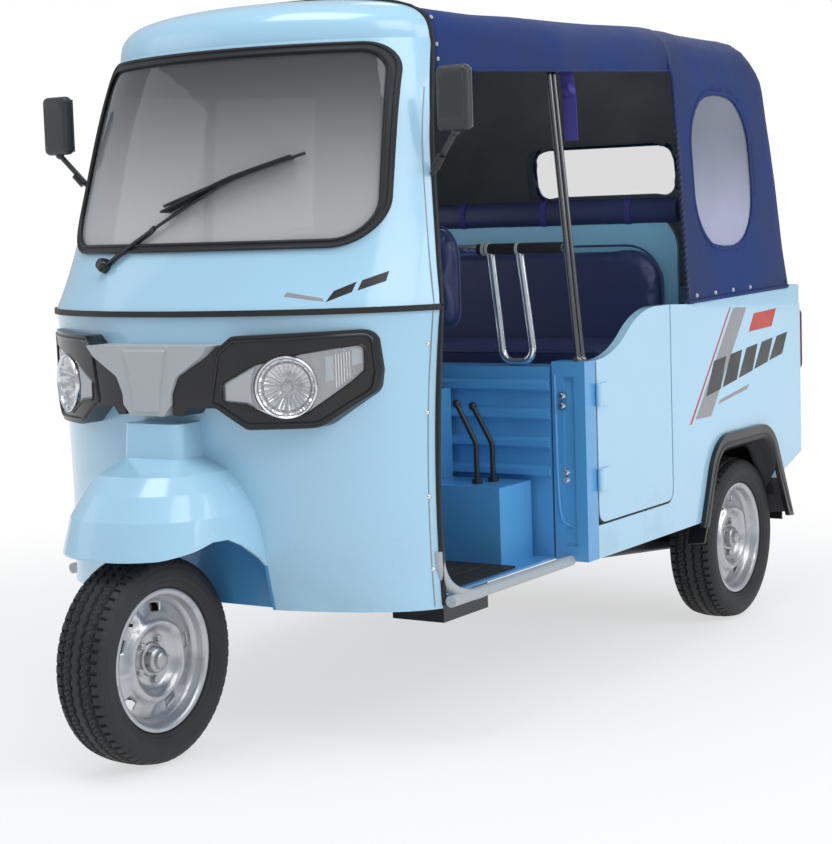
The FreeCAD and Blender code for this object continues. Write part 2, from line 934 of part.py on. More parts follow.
def bowed_form(front, side, back=0):
    """A tall form whose front bows in plan through the bezels' outer edges, moved back by a step."""
    half = s.bezel_outer
    low = s.plate_bottom - s.overrun * 2
    arc = Part.Arc(spot(-half, side + back, low), spot(0, front + back, low), spot(half, side + back, low))
    rear = s.belt_nose + s.belt_depth
    corners = [spot(half, side + back, low), spot(half, rear, low), spot(-half, rear, low),
               spot(-half, side + back, low)]
    edges = [arc.toShape()] + [Part.LineSegment(a, b).toShape() for a, b in zip(corners, corners[1:])]
    return Part.Face(Part.Wire(edges)).extrude(spot(0, 0, s.belt_level - low + s.overrun))


def outline_points(shares, left, right, low, high):
    """Front view points given as shares of a frame's width and height."""
    return [spot(left + (right - left) * across, 0, low + (high - low) * up) for across, up in shares]


def bezel_outline(side=1):
    points = outline_points(BEZEL_SHARES, s.bezel_inner, s.bezel_outer, s.bezel_low, s.bezel_high)
    points = [Vector(point.x * side, point.y, point.z) for point in points]
    return round_corners(points, [s.bezel_round * share for share in BEZEL_ROUND_SHARES])


# beak foot, notch, kink, low inner, low outer, outer, outer top, top outer, top inner, shoulder, beak top, beak
BEZEL_SHARES = [
    (0.0, 0.15), (0.061, 0.141), (0.099, 0.229), (0.258, 0.225), (0.42, 0.0), (0.756, 0.0), (0.985, 0.35),
    (1.0, 0.56), (0.988, 0.98), (0.354, 0.952), (0.261, 0.802), (0.045, 0.542), (0.005, 0.361),
]
BEZEL_ROUND_SHARES = [0.2, 0.2, 0.3, 0.8, 1.0, 2.0, 1.6, 1.6, 1.3, 1.0, 0.8, 1.2, 0.8]


def lamp_outline():
    points = outline_points(LAMP_SHARES, s.lamp_inner, s.lamp_outer, s.lamp_low, s.lamp_high)
    return round_corners(points, [s.bezel_round * share for share in LAMP_ROUND_SHARES])


# inner low, chrome foot, lamp low, lamp outer low, turn lamp low, its side, its top, its inner top, lamp top, inner top
LAMP_SHARES = [
    (0.0, 0.23), (0.2, 0.19), (0.4, 0.0), (0.62, 0.03), (0.92, 0.46), (1.0, 0.62), (1.0, 1.0), (0.6, 0.9),
    (0.26, 0.76), (0.0, 0.51),
]
LAMP_ROUND_SHARES = [0.5, 0.6, 1.2, 1.2, 1.0, 0.6, 0.6, 0.8, 0.8, 0.5]


def front_lamps():
    """Bowed bezels round a recessed lamp unit with a bowl, a clear lens over each, and the nose plate."""
    inside = cab_filled(COWL_ROWS, -s.lamp_seat)
    form = bowed_form(s.bezel_front, s.bezel_side)
    reach = s.belt_nose + s.belt_edge - s.overrun
    lamp = slab(lamp_outline(), 0, reach)
    left = slab(bezel_outline(), 0, reach).common(form).cut(inside)
    feature(both_sides(left.cut(lamp)), "lamp_bezels")
    under_lens = bowed_form(s.bezel_front, s.bezel_side, s.lamp_recess + s.lens_thick)
    lens = lamp.common(bowed_form(s.bezel_front, s.bezel_side, s.lamp_recess)).cut(under_lens).cut(inside)
    feature(both_sides(lens), "lamp_lenses")
    unit = lamp.common(under_lens).cut(inside)
    face = on_skin(under_lens, float(s.lamp_x), float(s.lamp_level)).y
    ball = (s.lamp_radius * s.lamp_radius + s.lamp_bowl_depth * s.lamp_bowl_depth) / (s.lamp_bowl_depth * 2)
    bowl = Part.makeSphere(float(ball), spot(s.lamp_x, face + float(s.lamp_bowl_depth - ball), s.lamp_level))
    feature(both_sides(unit.cut(bowl)), "headlamps")
    plate = slab(plate_outline(), 0, reach).common(bowed_form(s.plate_front, s.plate_side))
    beside = [slab(bezel_outline(), 0, reach), slab(bezel_outline(-1), 0, reach)]
    feature(plate.cut(inside).cut(beside), "nose_plate")


def both_sides(shape):
    return Part.Compound(shape.Solids + shape.mirror(Vector(), Vector(1, 0, 0)).Solids)


def plate_outline():
    high, low = s.plate_high_half, s.plate_low_half
    return wire([spot(-low, 0, s.plate_bottom), spot(low, 0, s.plate_bottom),
                 spot(high, 0, s.plate_top), spot(-high, 0, s.plate_top)])


def dashboard():
    filled = cab_filled(COWL_ROWS, s.sheet + s.fit_gap)
    half = float(s.belt_half)
    limits = Part.makeBox(half * 2, float(s.dash_rear), float(s.dash_top - s.dash_bottom),
                          spot(-half, 0, s.dash_bottom))
    feature(filled.common(limits).cut(column_bore()), "dashboard")


def wiper():
    """A bent arm from its spindle to the middle of the blade, which follows the glass."""
    form = cab_filled(FRAME_ROWS)
    lift = spot(0, s.wiper_lift, 0)

    def over(across, up):
        return on_skin(form, across, up) - lift

    pivot = on_skin(form, -s.wiper_x, s.wiper_pivot_level)
    across_share, up_share = WIPER_ARM_SHARES
    elbow_x = -s.wiper_x + s.wiper_arm * across_share
    elbow_level = s.wiper_pivot_level + s.wiper_arm * up_share
    across_share, up_share = WIPER_BLADE_SHARES
    ends = [over(elbow_x + s.wiper_blade * across_share * side, elbow_level + s.wiper_blade * up_share * side)
            for side in (-1, 1)]
    middle = over(elbow_x, elbow_level)
    blade = bowed_bar(ends[0], middle, ends[1], s.wiper_rod)
    knuckle = pivot - lift
    half_way = over((knuckle.x + middle.x) / 2, (knuckle.z + middle.z) / 2)
    arm = bowed_bar(knuckle, half_way, middle, s.wiper_rod)
    spindle = Part.makeCylinder(float(s.wiper_spindle), float(s.wiper_lift) * 2, knuckle - lift / 2,
                                Vector(0, 1, 0)).cut(form)
    feature(spindle.fuse([arm, blade]).removeSplitter(), "wiper")


WIPER_ARM_SHARES = (0.88, 0.477)
WIPER_BLADE_SHARES = (0.475, 0.147)


def on_skin(form, x, level):
    """The point of a form's front skin at a place in front view."""
    reach = float(s.wheelbase)
    line = Part.LineSegment(spot(x, -reach, level), spot(x, reach, level)).toShape()
    return spot(x, form.common(line).BoundBox.YMin, level)


def bowed_bar(start, middle, end, radius):
    """A round bar along an arc through three points."""
    arc = Part.Arc(start, middle, end)
    ring = Part.Circle(start, arc.tangent(arc.FirstParameter)[0], float(radius)).toShape()
    return Part.Wire([arc.toShape()]).makePipeShell([Part.Wire(ring)], True, False)


def bar_between(start, end, radius):
    return Part.makeCylinder(float(radius), (end - start).Length, start, end - start)


def mirrors():
    clamp_row = between(rows["brow"], rows["eye"], s.mirror_clamp_level)
    half, depth, nose, edge = clamp_row[1:]
    drop = float(depth - edge) / float(depth)
    clamp_x = float(half) * math.sqrt(1 - drop * drop)
    clamp = spot(clamp_x, float(nose + edge), s.mirror_clamp_level)
    elbow = spot(s.mirror_x, s.mirror_y, s.mirror_level - s.mirror_half_height)
    stem = bar_between(clamp, elbow, s.mirror_rod)
    knob = Part.makeSphere(float(s.mirror_rod) * KNOB_SHARE, elbow)
    shell = Part.makeBox(float(s.mirror_half_width * 2), float(s.mirror_depth), float(s.mirror_half_height * 2),
                         spot(s.mirror_x - s.mirror_half_width, s.mirror_y - s.mirror_depth / 2,
                              s.mirror_level - s.mirror_half_height))
    shell = shell.makeFillet(float(s.mirror_depth) * MIRROR_ROUND_SHARE, shell.Edges)
    whole = stem.fuse([knob, shell]).cut(cab_filled(FRAME_ROWS, -s.lamp_seat))
    whole = whole.cut(cab_wall(FRAME_ROWS, s.lamp_seat, s.sheet))
    feature(both_sides(whole), "mirrors")
    inset = s.mirror_depth * MIRROR_ROUND_SHARE / 2
    glass = Part.makeBox(float(s.mirror_half_width - inset) * 2, float(s.film), float(s.mirror_half_height - inset) * 2,
                         spot(s.mirror_x - s.mirror_half_width + inset, s.mirror_y + s.mirror_depth / 2,
                              s.mirror_level - s.mirror_half_height + inset))
    feature(both_sides(glass), "mirror_glasses")


MIRROR_ROUND_SHARE = 0.45
KNOB_SHARE = 1.6


# Steering

def steering():
    foot = steer_spot(s.column_foot)
    head = steer_spot(s.column_head)
    column = bar_between(foot, head, s.column_radius)
    inner = s.fork_x - s.fork_thick / 2
    crown = Part.makeBox(float(inner + s.fork_thick + s.column_radius), float(s.column_radius * 2),
                         float(s.crown_plate),
                         spot(-inner - s.fork_thick, steer_y(s.column_foot) - float(s.column_radius),
                              s.column_foot - s.crown_plate))
    leg = limb([(steer_y(s.column_foot), s.column_foot - s.crown_plate / 2),
                (s.arm_pivot_y, s.arm_pivot_level)])
    arm = limb([(s.arm_pivot_y, s.arm_pivot_level), (0, s.tyre_radius)])
    axle = Part.makeCylinder(float(s.axle_radius), float(inner - s.drum_back - s.fit_gap),
                             spot(-inner, 0, s.tyre_radius), Vector(1, 0, 0))
    feature(column.fuse([crown, leg, arm, axle]).removeSplitter(), "steering_fork")

    top = spot(-s.fork_x, steer_y(s.column_foot) - float(s.column_radius + s.damper_radius) * 1.1,
               s.column_foot - s.crown_plate)
    low = spot(-s.fork_x, s.arm_pivot_y * DAMPER_SHARE, s.tyre_radius + s.fork_thick)
    damper = bar_between(low, top, s.damper_radius)
    feature(damper.cut(arm).cut(crown).cut(leg), "front_damper")

    bar_foot = steer_spot(s.bar_level)
    side = spot(1, 0, 0)
    inner_bend = bar_foot + side * float(s.bar_middle)
    tip = bar_foot + spot(s.bar_half, s.bar_sweep, 0)
    points = [mirror_spot(tip), mirror_spot(inner_bend), inner_bend, tip]
    bar = tube(points, s.bar_radius, s.bar_bend)
    pod = Part.makeBox(float(s.steer_pod_half * 2), float(s.steer_pod_depth), float(s.steer_pod_height),
                       bar_foot - spot(s.steer_pod_half, s.steer_pod_depth / 2, s.steer_pod_height / 2))
    grips = []
    run = (tip - inner_bend).normalize()
    for end, way in ((tip, run), (mirror_spot(tip), mirror_spot(run))):
        grips.append(Part.makeCylinder(float(s.grip_radius), float(s.grip_length), end,
                                       way * -1))
    whole = bar.fuse([pod] + grips).cut(column)
    feature(whole.removeSplitter(), "handlebar")


DAMPER_SHARE = 0.3


def mirror_spot(point):
    return Vector(-point.x, point.y, point.z)


def limb(places):
    """A flat fork arm between two round ends, beside the wheel."""
    half = s.fork_thick / 2
    start, end = (spot(-s.fork_x - half, y, z) for y, z in places)
    across = spot(s.fork_thick, 0, 0)
    way = (end - start).normalize()
    side = way.cross(Vector(1, 0, 0)) * float(s.damper_radius)
    bar = Part.Face(wire([start + side, end + side, end - side, start - side])).extrude(across)
    ends = [Part.makeCylinder(float(s.damper_radius), float(s.fork_thick), point, Vector(1, 0, 0))
            for point in (start, end)]
    return bar.fuse(ends)


# Floor, chassis and running gear

def floor():
    level, half, depth, nose, edge = rows["hem"]
    middle = nose + depth
    plan = Part.Wire([ellipse_arc(s.floor_level, half, depth, middle, 0, s.sheet + s.floor_gap)])
    edge_half = float(half - s.sheet - s.floor_gap)
    line = Part.LineSegment(plan.Vertexes[-1].Point, plan.Vertexes[0].Point).toShape()
    front = Part.Face(Part.Wire([plan.Edges[0], line])).extrude(spot(0, 0, s.floor_sheet))
    keep = Part.makeBox(edge_half * 2, float(s.wheelbase), float(s.overrun),
                        spot(-edge_half, s.floor_front, s.floor_level - s.overrun / 2))
    front = front.common(keep)
    back = Part.makeBox(float(bulkhead_half * 2), float(bench_front - middle), float(s.floor_sheet),
                        spot(-bulkhead_half, middle, s.floor_level))
    feature(front.fuse(back).removeSplitter(), "floor_pan")

    mat_half = bulkhead_half - s.sill_radius
    sill_front = rows["hem"][3] + rows["hem"][4]
    mat_front = sill_front + s.sheet
    node(block("mat", (0, 0, 0), (mat_half * 2, s.step_y - mat_front - s.fit_gap, s.mat_thick)),
         "floor_mat", -mat_half, mat_front, s.floor_level + s.floor_sheet)
    sill = rod("sill", (s.side_half - s.sill_in, sill_front, s.floor_level), s.bulkhead_y - sill_front, s.sill_radius,
               ALONG_Y)
    node(pair("sills", sill), "sill_rails")


def chassis():
    rail_level = s.floor_level - s.rail_depth
    rail_end = side_rear - s.rear_panel
    rail = block("rail", (s.rail_half - s.rail_width / 2, s.rail_front, rail_level),
                 (s.rail_width, rail_end - s.rail_front, s.rail_depth))
    pieces = [rail, mirrored("rail_other", rail)]
    for number, y in enumerate((s.rail_front, s.bulkhead_y, arm_front - s.rail_width * 2,
                                rail_end - s.rail_width)):
        pieces.append(block("cross_%d" % number, (-s.rail_half, y, rail_level),
                            (s.rail_half * 2, s.rail_width, s.rail_depth)))
    node(joined("frame", *pieces), "chassis_frame")
    tank_front = s.rail_front
    node(block("tank", (0, 0, 0), (s.tank_width, s.tank_length, s.tank_depth)), "under_floor_box",
         s.rail_half + s.rail_width / 2, tank_front, s.floor_level - s.tank_depth)

    node(block("engine", (0, 0, 0), (s.engine_half * 2, s.engine_length, s.engine_height)), "engine_block",
         -s.engine_half, engine_front, s.engine_bottom)

    carrier_x = rear_half_track - s.drum_back - s.arm_tube - s.fit_gap
    hub = spot(carrier_x, s.wheelbase, s.tyre_radius)
    pivot = spot(s.arm_x, arm_front, s.floor_level - s.rail_depth - s.arm_tube - s.fit_gap)
    arm = bar_between(pivot, hub, s.arm_tube)
    carrier = Part.makeCylinder(float(s.arm_tube) * CARRIER_SHARE, float(s.arm_tube), hub, Vector(1, 0, 0))
    shaft = bar_between(spot(s.engine_half, s.wheelbase, s.tyre_radius), hub, s.shaft_radius)
    half_set = arm.fuse([carrier, shaft])
    other = half_set.mirror(Vector(), Vector(1, 0, 0))
    cross = bar_between(mirror_spot(pivot), pivot, s.arm_tube)
    feature(half_set.fuse([cross, other]).removeSplitter(), "rear_suspension")

    radius_share, length_share = PIPE_SHARES
    pipe_length = s.exhaust_radius * length_share
    silencer = Part.makeCylinder(float(s.exhaust_radius), float(s.exhaust_half * 2),
                                 spot(-s.exhaust_half, engine_front - pipe_length,
                                      s.engine_bottom + s.exhaust_radius * 2), Vector(1, 0, 0))
    pipe = Part.makeCylinder(float(s.exhaust_radius) * radius_share, float(pipe_length),
                             spot(s.exhaust_half / 2, engine_front - pipe_length,
                                  s.engine_bottom + s.exhaust_radius * 2), Vector(0, 1, 0))
    feature(silencer.fuse(pipe).removeSplitter(), "exhaust")


CARRIER_SHARE = 1.3
PIPE_SHARES = (0.33, 1.5)


# Bulkhead and seats

def bulkhead():
    """A pressed panel with level ribs behind the driver's legs, a ledge over it and the step box."""
    item = body("bulkhead_panel")
    high = s.ledge_level
    low = s.floor_level + s.floor_sheet
    tall = high - low
    face = s.bulkhead_y
    points = [(face + s.sheet, low), (face, low)]
    for share in RIB_SHARES:
        middle = low + tall * share
        points += [(face, middle - s.bulkhead_rib), (face - s.bulkhead_rib, middle - s.bulkhead_rib / 2),
                   (face - s.bulkhead_rib, middle + s.bulkhead_rib / 2), (face, middle + s.bulkhead_rib)]
    points += [(face, high), (face + s.ledge_depth, high), (face + s.ledge_depth, high - s.sheet),
               (face + s.sheet, high - s.sheet)]
    pad(item, outline(item, "bulkhead_side", "YZ_Plane", points), bulkhead_half * 2, middle=True)
    node(item, "bulkhead")
    step_half = s.step_half
    node(block("step", (0, 0, 0), (step_half * 2, s.bulkhead_y - s.bulkhead_rib - s.step_y, s.step_height)),
         "step_box", -step_half, s.step_y, s.floor_level + s.floor_sheet)
    levers()


RIB_SHARES = (0.45, 0.6, 0.75, 0.9)


def levers():
    """The hand brake and the reverse lever, bent rods that stand on the step box."""
    rods = []
    for x_share, y_share, high_share in LEVER_SHARES:
        x = s.step_half * x_share
        y = s.step_y + (s.bulkhead_y - s.step_y) * y_share
        rise = s.lever_height * high_share
        points = [spot(x, y, step_top), spot(x, y, step_top + rise / 2),
                  spot(x - s.lever_bend, y, step_top + rise)]
        knob = Part.makeSphere(float(s.lever_radius) * KNOB_SHARE, points[-1])
        plate = Part.makeCylinder(float(s.lever_radius) * 2, float(s.sheet), points[0], Vector(0, 0, 1))
        rods.append(tube(points, s.lever_radius, s.lever_bend).fuse([knob, plate]).removeSplitter())
    feature(Part.Compound(rods), "control_levers")


# each lever's place on the step box, across and along, and its height
LEVER_SHARES = [(0.79, 0.35, 1.0), (0.83, 0.62, 0.95)]


def seat_pad(label, half, front, rear, level, thick, corner_share=0.4):
    """A cushion with its upper edges rounded."""
    item = body(label + "_body")
    sketch = outline(item, label + "_side", "YZ_Plane",
                     [(front, level), (rear, level), (rear, level + thick), (front, level + thick)])
    step = pad(item, sketch, half * 2, middle=True)
    top = float(level + thick)
    rounded(item, step, thick * corner_share, lambda run, middle: abs(middle.z - top) < float(s.fit_gap))
    return node(item, label)


def seats():
    stand = block("seat_stand", (-s.seat_half, s.seat_front + s.overrun, step_top + s.fit_gap / 2),
                  (s.seat_half * 2, s.bulkhead_y - s.bulkhead_rib - s.seat_front - s.overrun,
                   s.seat_level - step_top - s.fit_gap / 2))
    node(group("seat_base_form", stand), "driver_seat_base")
    seat_pad("driver_cushion", s.seat_half, s.seat_front, s.seat_rear, s.seat_level, s.seat_pad)
    back_pad("driver_backrest", s.rest_half, post_y - s.guard_bar - s.fit_gap - s.rest_pad,
             s.rest_bottom, s.rest_top, s.rest_pad)
    bench()


def back_pad(label, half, front, low, high, thick, corner_share=0.4):
    """An upright cushion with its front edges rounded."""
    item = body(label + "_body")
    sketch = outline(item, label + "_side", "YZ_Plane",
                     [(front, low), (front + thick, low), (front + thick, high), (front, high)])
    step = pad(item, sketch, half * 2, middle=True)
    face = float(front)
    rounded(item, step, thick * corner_share, lambda run, middle: abs(middle.y - face) < float(s.fit_gap))
    return node(item, label)


def bench():
    inner = s.side_half - s.side_sheet
    low = s.floor_level + s.floor_sheet
    item = body("bench_form")
    points = [(bench_front, s.floor_level), (bench_front + s.sheet, s.floor_level),
              (bench_front + s.sheet, s.bench_level - s.sheet), (bench_rear, s.bench_level - s.sheet),
              (bench_rear, s.bench_level), (bench_front, s.bench_level)]
    pad(item, outline(item, "bench_side", "YZ_Plane", points), inner * 2, middle=True)
    node(item, "bench_base")
    seat_pad("passenger_cushion", bench_half, bench_front, bench_rear - s.bench_rest_pad, s.bench_level,
             s.bench_pad)
    back_pad("passenger_backrest", bench_half, bench_rear - s.bench_rest_pad, s.bench_level + s.fit_gap,
             s.bench_rest_top, s.bench_rest_pad)
    panel = round_top_panel(bench_half + s.sheet, bench_rear, s.deck_level, s.panel_top)
    feature(panel, "seat_back_panel")
    deck_front = bench_rear + s.sheet
    deck = block("deck", (-inner, deck_front, s.deck_level), (inner * 2, side_rear - s.rear_panel - deck_front, s.sheet))
    node(group("deck_form", deck), "luggage_deck")


def round_top_panel(half, y, low, high):
    """An upright panel whose two upper corners are rounded."""
    corner = s.panel_corner
    small = s.sheet / 2
    points = [spot(-half, y, low), spot(half, y, low), spot(half, y, high), spot(-half, y, high)]
    return Part.Face(round_corners(points, [small, small, corner, corner])).extrude(spot(0, s.sheet, 0))


# Side bodies, doors and rear

def top_edge_at(y):
    """The level of the body's top edge, which falls towards the rear."""
    return s.side_top - (y - door_rear) * (s.side_top - s.side_rear_top) / (side_rear - door_rear)


def arch_form(name, grow, start, width):
    """A filled wheel arch, grown by a margin: slanted legs, two rounded shoulders, carried along X."""
    lean = grow * ARCH_LEAN_SHARE
    low = s.arch_foot_level - s.overrun
    item = body(name)
    sketch = outline(item, name + "_view", "YZ_Plane", [
        (s.wheelbase - s.arch_foot_ahead - grow, low),
        (s.wheelbase + s.arch_foot_behind + grow, low),
        (s.wheelbase + s.arch_top_behind + lean, s.arch_top + grow),
        (s.wheelbase - s.arch_top_ahead - lean, s.arch_top + grow),
    ], start)
    step = pad(item, sketch, width)
    high = float(s.arch_top + grow)
    rounded(item, step, s.arch_corner + grow,
            lambda run, middle: abs(middle.z - high) < float(s.fit_gap) and abs(run.x) > float(s.fit_gap))
    return item


ARCH_LEAN_SHARE = 0.6


def sides():
    door_line = door_rear + s.shut_gap
    notch = s.door_bottom - s.shut_gap
    left = body("side_form")
    sketch = outline(left, "side_view", "YZ_Plane", [
        (pillar_rear, s.side_bottom),
        (s.wheelbase, s.side_bottom),
        (side_rear, s.rear_bottom),
        (side_rear, s.side_rear_top),
        (door_rear, s.side_top),
        (door_line, s.side_top),
        (door_line, notch),
        (pillar_rear, notch),
    ], side_inner)
    step = pad(left, sketch, s.side_sheet)
    rounded(left, step, s.door_corner + s.shut_gap,
            lambda run, middle: abs(run.x) > float(s.fit_gap) and abs(middle.y - float(door_line)) < float(s.fit_gap)
            and abs(middle.z - float(notch)) < float(s.fit_gap))
    arch = arch_form("side_arch", 0, side_inner - s.overrun, s.side_sheet + s.overrun * 2)
    panel = without("side_cut", left, arch)
    node(panel, "side_panel_left")
    node_as_placed(mirrored("side_other", panel), "side_panel_right")

    pillar = block("pillar", (s.side_half - s.pillar_width, s.bulkhead_y, s.side_bottom),
                   (s.pillar_width, s.pillar_depth, s.door_front_top - s.side_bottom))
    groove = block("pillar_groove", (s.side_half - s.pillar_width * 2 / 3, s.bulkhead_y - s.overrun,
                                     s.side_bottom + s.overrun),
                   (s.pillar_width / 3, s.overrun + s.sheet / 2, s.door_front_top - s.side_bottom - s.overrun * 2))
    node(pair("pillar_pair", without("pillar_cut", pillar, groove)), "door_pillars")

    outer = arch_form("liner_out", s.liner_sheet, wheelhouse_in, side_inner - wheelhouse_in)
    hollow = arch_form("liner_in", 0, wheelhouse_in + s.liner_sheet, side_inner - wheelhouse_in)
    below = block("liner_below", (wheelhouse_in - s.overrun, s.wheelbase - s.arch_foot_ahead * 2,
                                  s.side_bottom - s.arch_top),
                  (side_inner - wheelhouse_in + s.overrun * 2, s.arch_foot_ahead * 4, s.arch_top))
    node(pair("liner_pair", without("liner_cut", outer, hollow, below)), "rear_wheel_arches")

    flare_out = arch_form("flare_out", s.flare_width, s.side_half, s.flare_proud)
    flare_in = arch_form("flare_in", 0, s.side_half - s.overrun, s.flare_proud + s.overrun * 2)
    foot = body("flare_foot")
    front = s.wheelbase - s.arch_foot_ahead - s.flare_width * 2
    back = s.wheelbase + s.arch_foot_behind + s.flare_width * 2
    low = s.arch_foot_level - s.overrun * 2
    foot_view = outline(foot, "flare_foot_view", "YZ_Plane", [
        (front, low), (back, low), (back, s.flare_rear_level), (front, s.flare_front_level),
    ], s.side_half - s.overrun)
    pad(foot, foot_view, s.flare_proud + s.overrun * 2)
    node(pair("flare_pair", without("flare_cut", flare_out, flare_in, foot)), "arch_flares")

    rear = block("rear_sheet", (-side_inner, side_rear - s.rear_panel, s.rear_bottom),
                 (side_inner * 2, s.rear_panel, s.side_rear_top - s.rear_bottom))
    holes = [rod("plate_hole_%d" % side, (s.plate_hole_span / 2 * side, side_rear - s.rear_panel - s.overrun,
                                          s.plate_hole_level),
                 s.rear_panel + s.overrun * 2, s.plate_hole_radius, ALONG_Y) for side in (-1, 1)]
    node(without("rear_form", rear, *holes), "rear_panel")


def doors():
    """The half doors: flat pressed leaves whose top sweeps up towards the rear."""
    front = pillar_rear + s.shut_gap
    low = s.door_bottom
    leaf = body("door_form")
    sweep_end = front + (door_rear - front) * SWEEP_SHARE
    middle = (front + sweep_end) / 2
    rise = s.side_top - s.door_front_top
    sketch = outline(leaf, "door_view", "YZ_Plane", [
        (front, low),
        (door_rear, low),
        (door_rear, s.side_top),
        (sweep_end, s.side_top, (middle + sweep_end) / 2, s.side_top - rise * DOOR_TOP_SHARE),
        (middle, s.door_front_top + rise / 2, (middle + front) / 2, s.door_front_top + rise * DOOR_TOP_SHARE),
        (front, s.door_front_top),
    ], side_inner)
    step = pad(leaf, sketch, s.side_sheet)
    rounded(leaf, step, s.door_corner,
            lambda run, at: abs(run.x) > float(s.fit_gap) and abs(at.z - float(low)) < float(s.fit_gap))
    axis_x = s.side_half + s.hinge_radius
    axis_y = pillar_rear + s.shut_gap / 2
    pieces = [leaf]
    for number, share in enumerate(HINGE_SHARES):
        level = low + (s.door_front_top - low) * share
        pieces.append(rod("hinge_%d" % number, (axis_x, axis_y, level), s.hinge_length, s.hinge_radius))
        pieces.append(block("strap_%d" % number, (s.side_half, axis_y, level),
                            (s.hinge_radius, s.hinge_length, s.hinge_length)))
    door = node(joined("door_leaf", *pieces), "door_left")
    node_as_placed(mirrored("door_other", door), "door_right")


DOOR_TOP_SHARE = 0.12
SWEEP_SHARE = 0.8
HINGE_SHARES = (0.2, 0.72)


def rear_trim():
    bumper_half = s.side_half - s.bumper_in
    bumper = rod("bumper_bar", (-bumper_half, side_rear + s.bumper_radius, s.bumper_level), bumper_half * 2,
                 s.bumper_radius, ALONG_X)
    node(group("bumper_form", bumper), "rear_bumper")
    lamp = block("tail_lamp", (s.side_half - s.shut_gap - s.lamp_rear_half_width * 2, side_rear,
                               s.lamp_rear_level - s.lamp_rear_half_height),
                 (s.lamp_rear_half_width * 2, s.lamp_rear_depth, s.lamp_rear_half_height * 2))
    node(pair("tail_pair", lamp), "tail_lamps")
    flap = block("flap", (side_inner - s.flap_half * 2, s.wheelbase + s.arch_foot_behind + s.liner_sheet * 2,
                          s.flap_bottom),
                 (s.flap_half * 2, s.flap_thick, s.rear_bottom + s.overrun - s.flap_bottom))
    node(pair("flap_pair", flap), "mudflaps")


# Guard rail, posts and canopy

def posts():
    """Twin slim posts from the door pillars up to the canopy, and the guard rail between them."""
    foot_level = s.door_front_top + s.post_clear
    head_level = s.canopy_post_top - s.canopy_crown - s.canopy_shoulder - s.post_clear
    foot = spot(s.side_half - s.post_in, post_y, foot_level)
    head = spot(s.side_half - s.post_in - s.post_lean, post_y, head_level)
    step = spot(0, s.post_gap / 2, 0)
    bars = []
    for way in (-1, 1):
        bar = bar_between(foot + step * way, head + step * way, s.post_radius)
        cup = Part.makeCylinder(float(s.post_radius) * FOOT_SHARE, float(s.post_radius),
                                foot + step * way - spot(0, 0, s.post_clear), Vector(0, 0, 1))
        bars.append(bar.fuse(cup))
    twin = bars[0].fuse(bars[1]).removeSplitter()
    below = Part.makeBox(float(s.side_half), float(s.side_half), float(s.overrun),
                         spot(0, post_y - s.side_half / 2, s.door_front_top - s.overrun))
    feature(both_sides(twin.cut(below)), "canopy_posts")

    level = s.guard_level
    lean = float(s.post_lean) * float(level - foot_level) / float(head_level - foot_level)
    reach = float(s.side_half - s.post_in) - lean - float(s.post_radius)
    bar = bar_between(spot(-reach, post_y, level), spot(reach, post_y, level), s.guard_bar)
    pieces = []
    for side in (1, -1):
        top = [spot(bulkhead_half * share * side, post_y, level) for share in GUARD_TOP_SHARES]
        foot = [spot(bulkhead_half * share * side, post_y, s.ledge_level + s.guard_tube) for share in GUARD_FOOT_SHARES]
        pieces.append(tube([top[0], foot[0], foot[1], top[1]], s.guard_tube, s.guard_bend))
    feature(bar.fuse(pieces).removeSplitter(), "partition_guard")


FOOT_SHARE = 1.5
# where each hanging loop of the guard starts on the bar and where it turns above the ledge
GUARD_TOP_SHARES = (0.66, 0.82)
GUARD_FOOT_SHARES = (0.72, 0.89)


def arch_section(y, low_half, low, top_half, top, corner, trim=0):
    """A closed outline across the canopy: upright sides, round shoulders, a crowned top."""
    low_half = float(low_half) - float(trim)
    half = float(top_half) - float(trim)
    top = float(top) - float(trim)
    corner = float(corner) - float(trim)
    crown = float(s.canopy_crown)
    ridge_round = half * half * RIDGE_SHARE / crown
    points = [spot(-low_half, y, low), spot(low_half, y, low), spot(half, y, top - crown), spot(0, y, top),
              spot(-half, y, top - crown)]
    small = float(s.canopy_wall) / 4
    return round_corners(points, [small, small, corner, ridge_round, corner])


RIDGE_SHARE = 0.62


def hood(stations, trim, run_out, run_out_low):
    """A loft through stations: place, lower half width, foot, upper half width, top and shoulder."""
    rows_here = [list(station) for station in stations]
    rows_here[0][0] = rows_here[0][0] - run_out
    rows_here[-1][0] = rows_here[-1][0] + run_out
    wires = [arch_section(y, low_half, low - run_out_low, top_half, top, corner, trim)
             for y, low_half, low, top_half, top, corner in rows_here]
    return Part.makeLoft(wires, True, True)


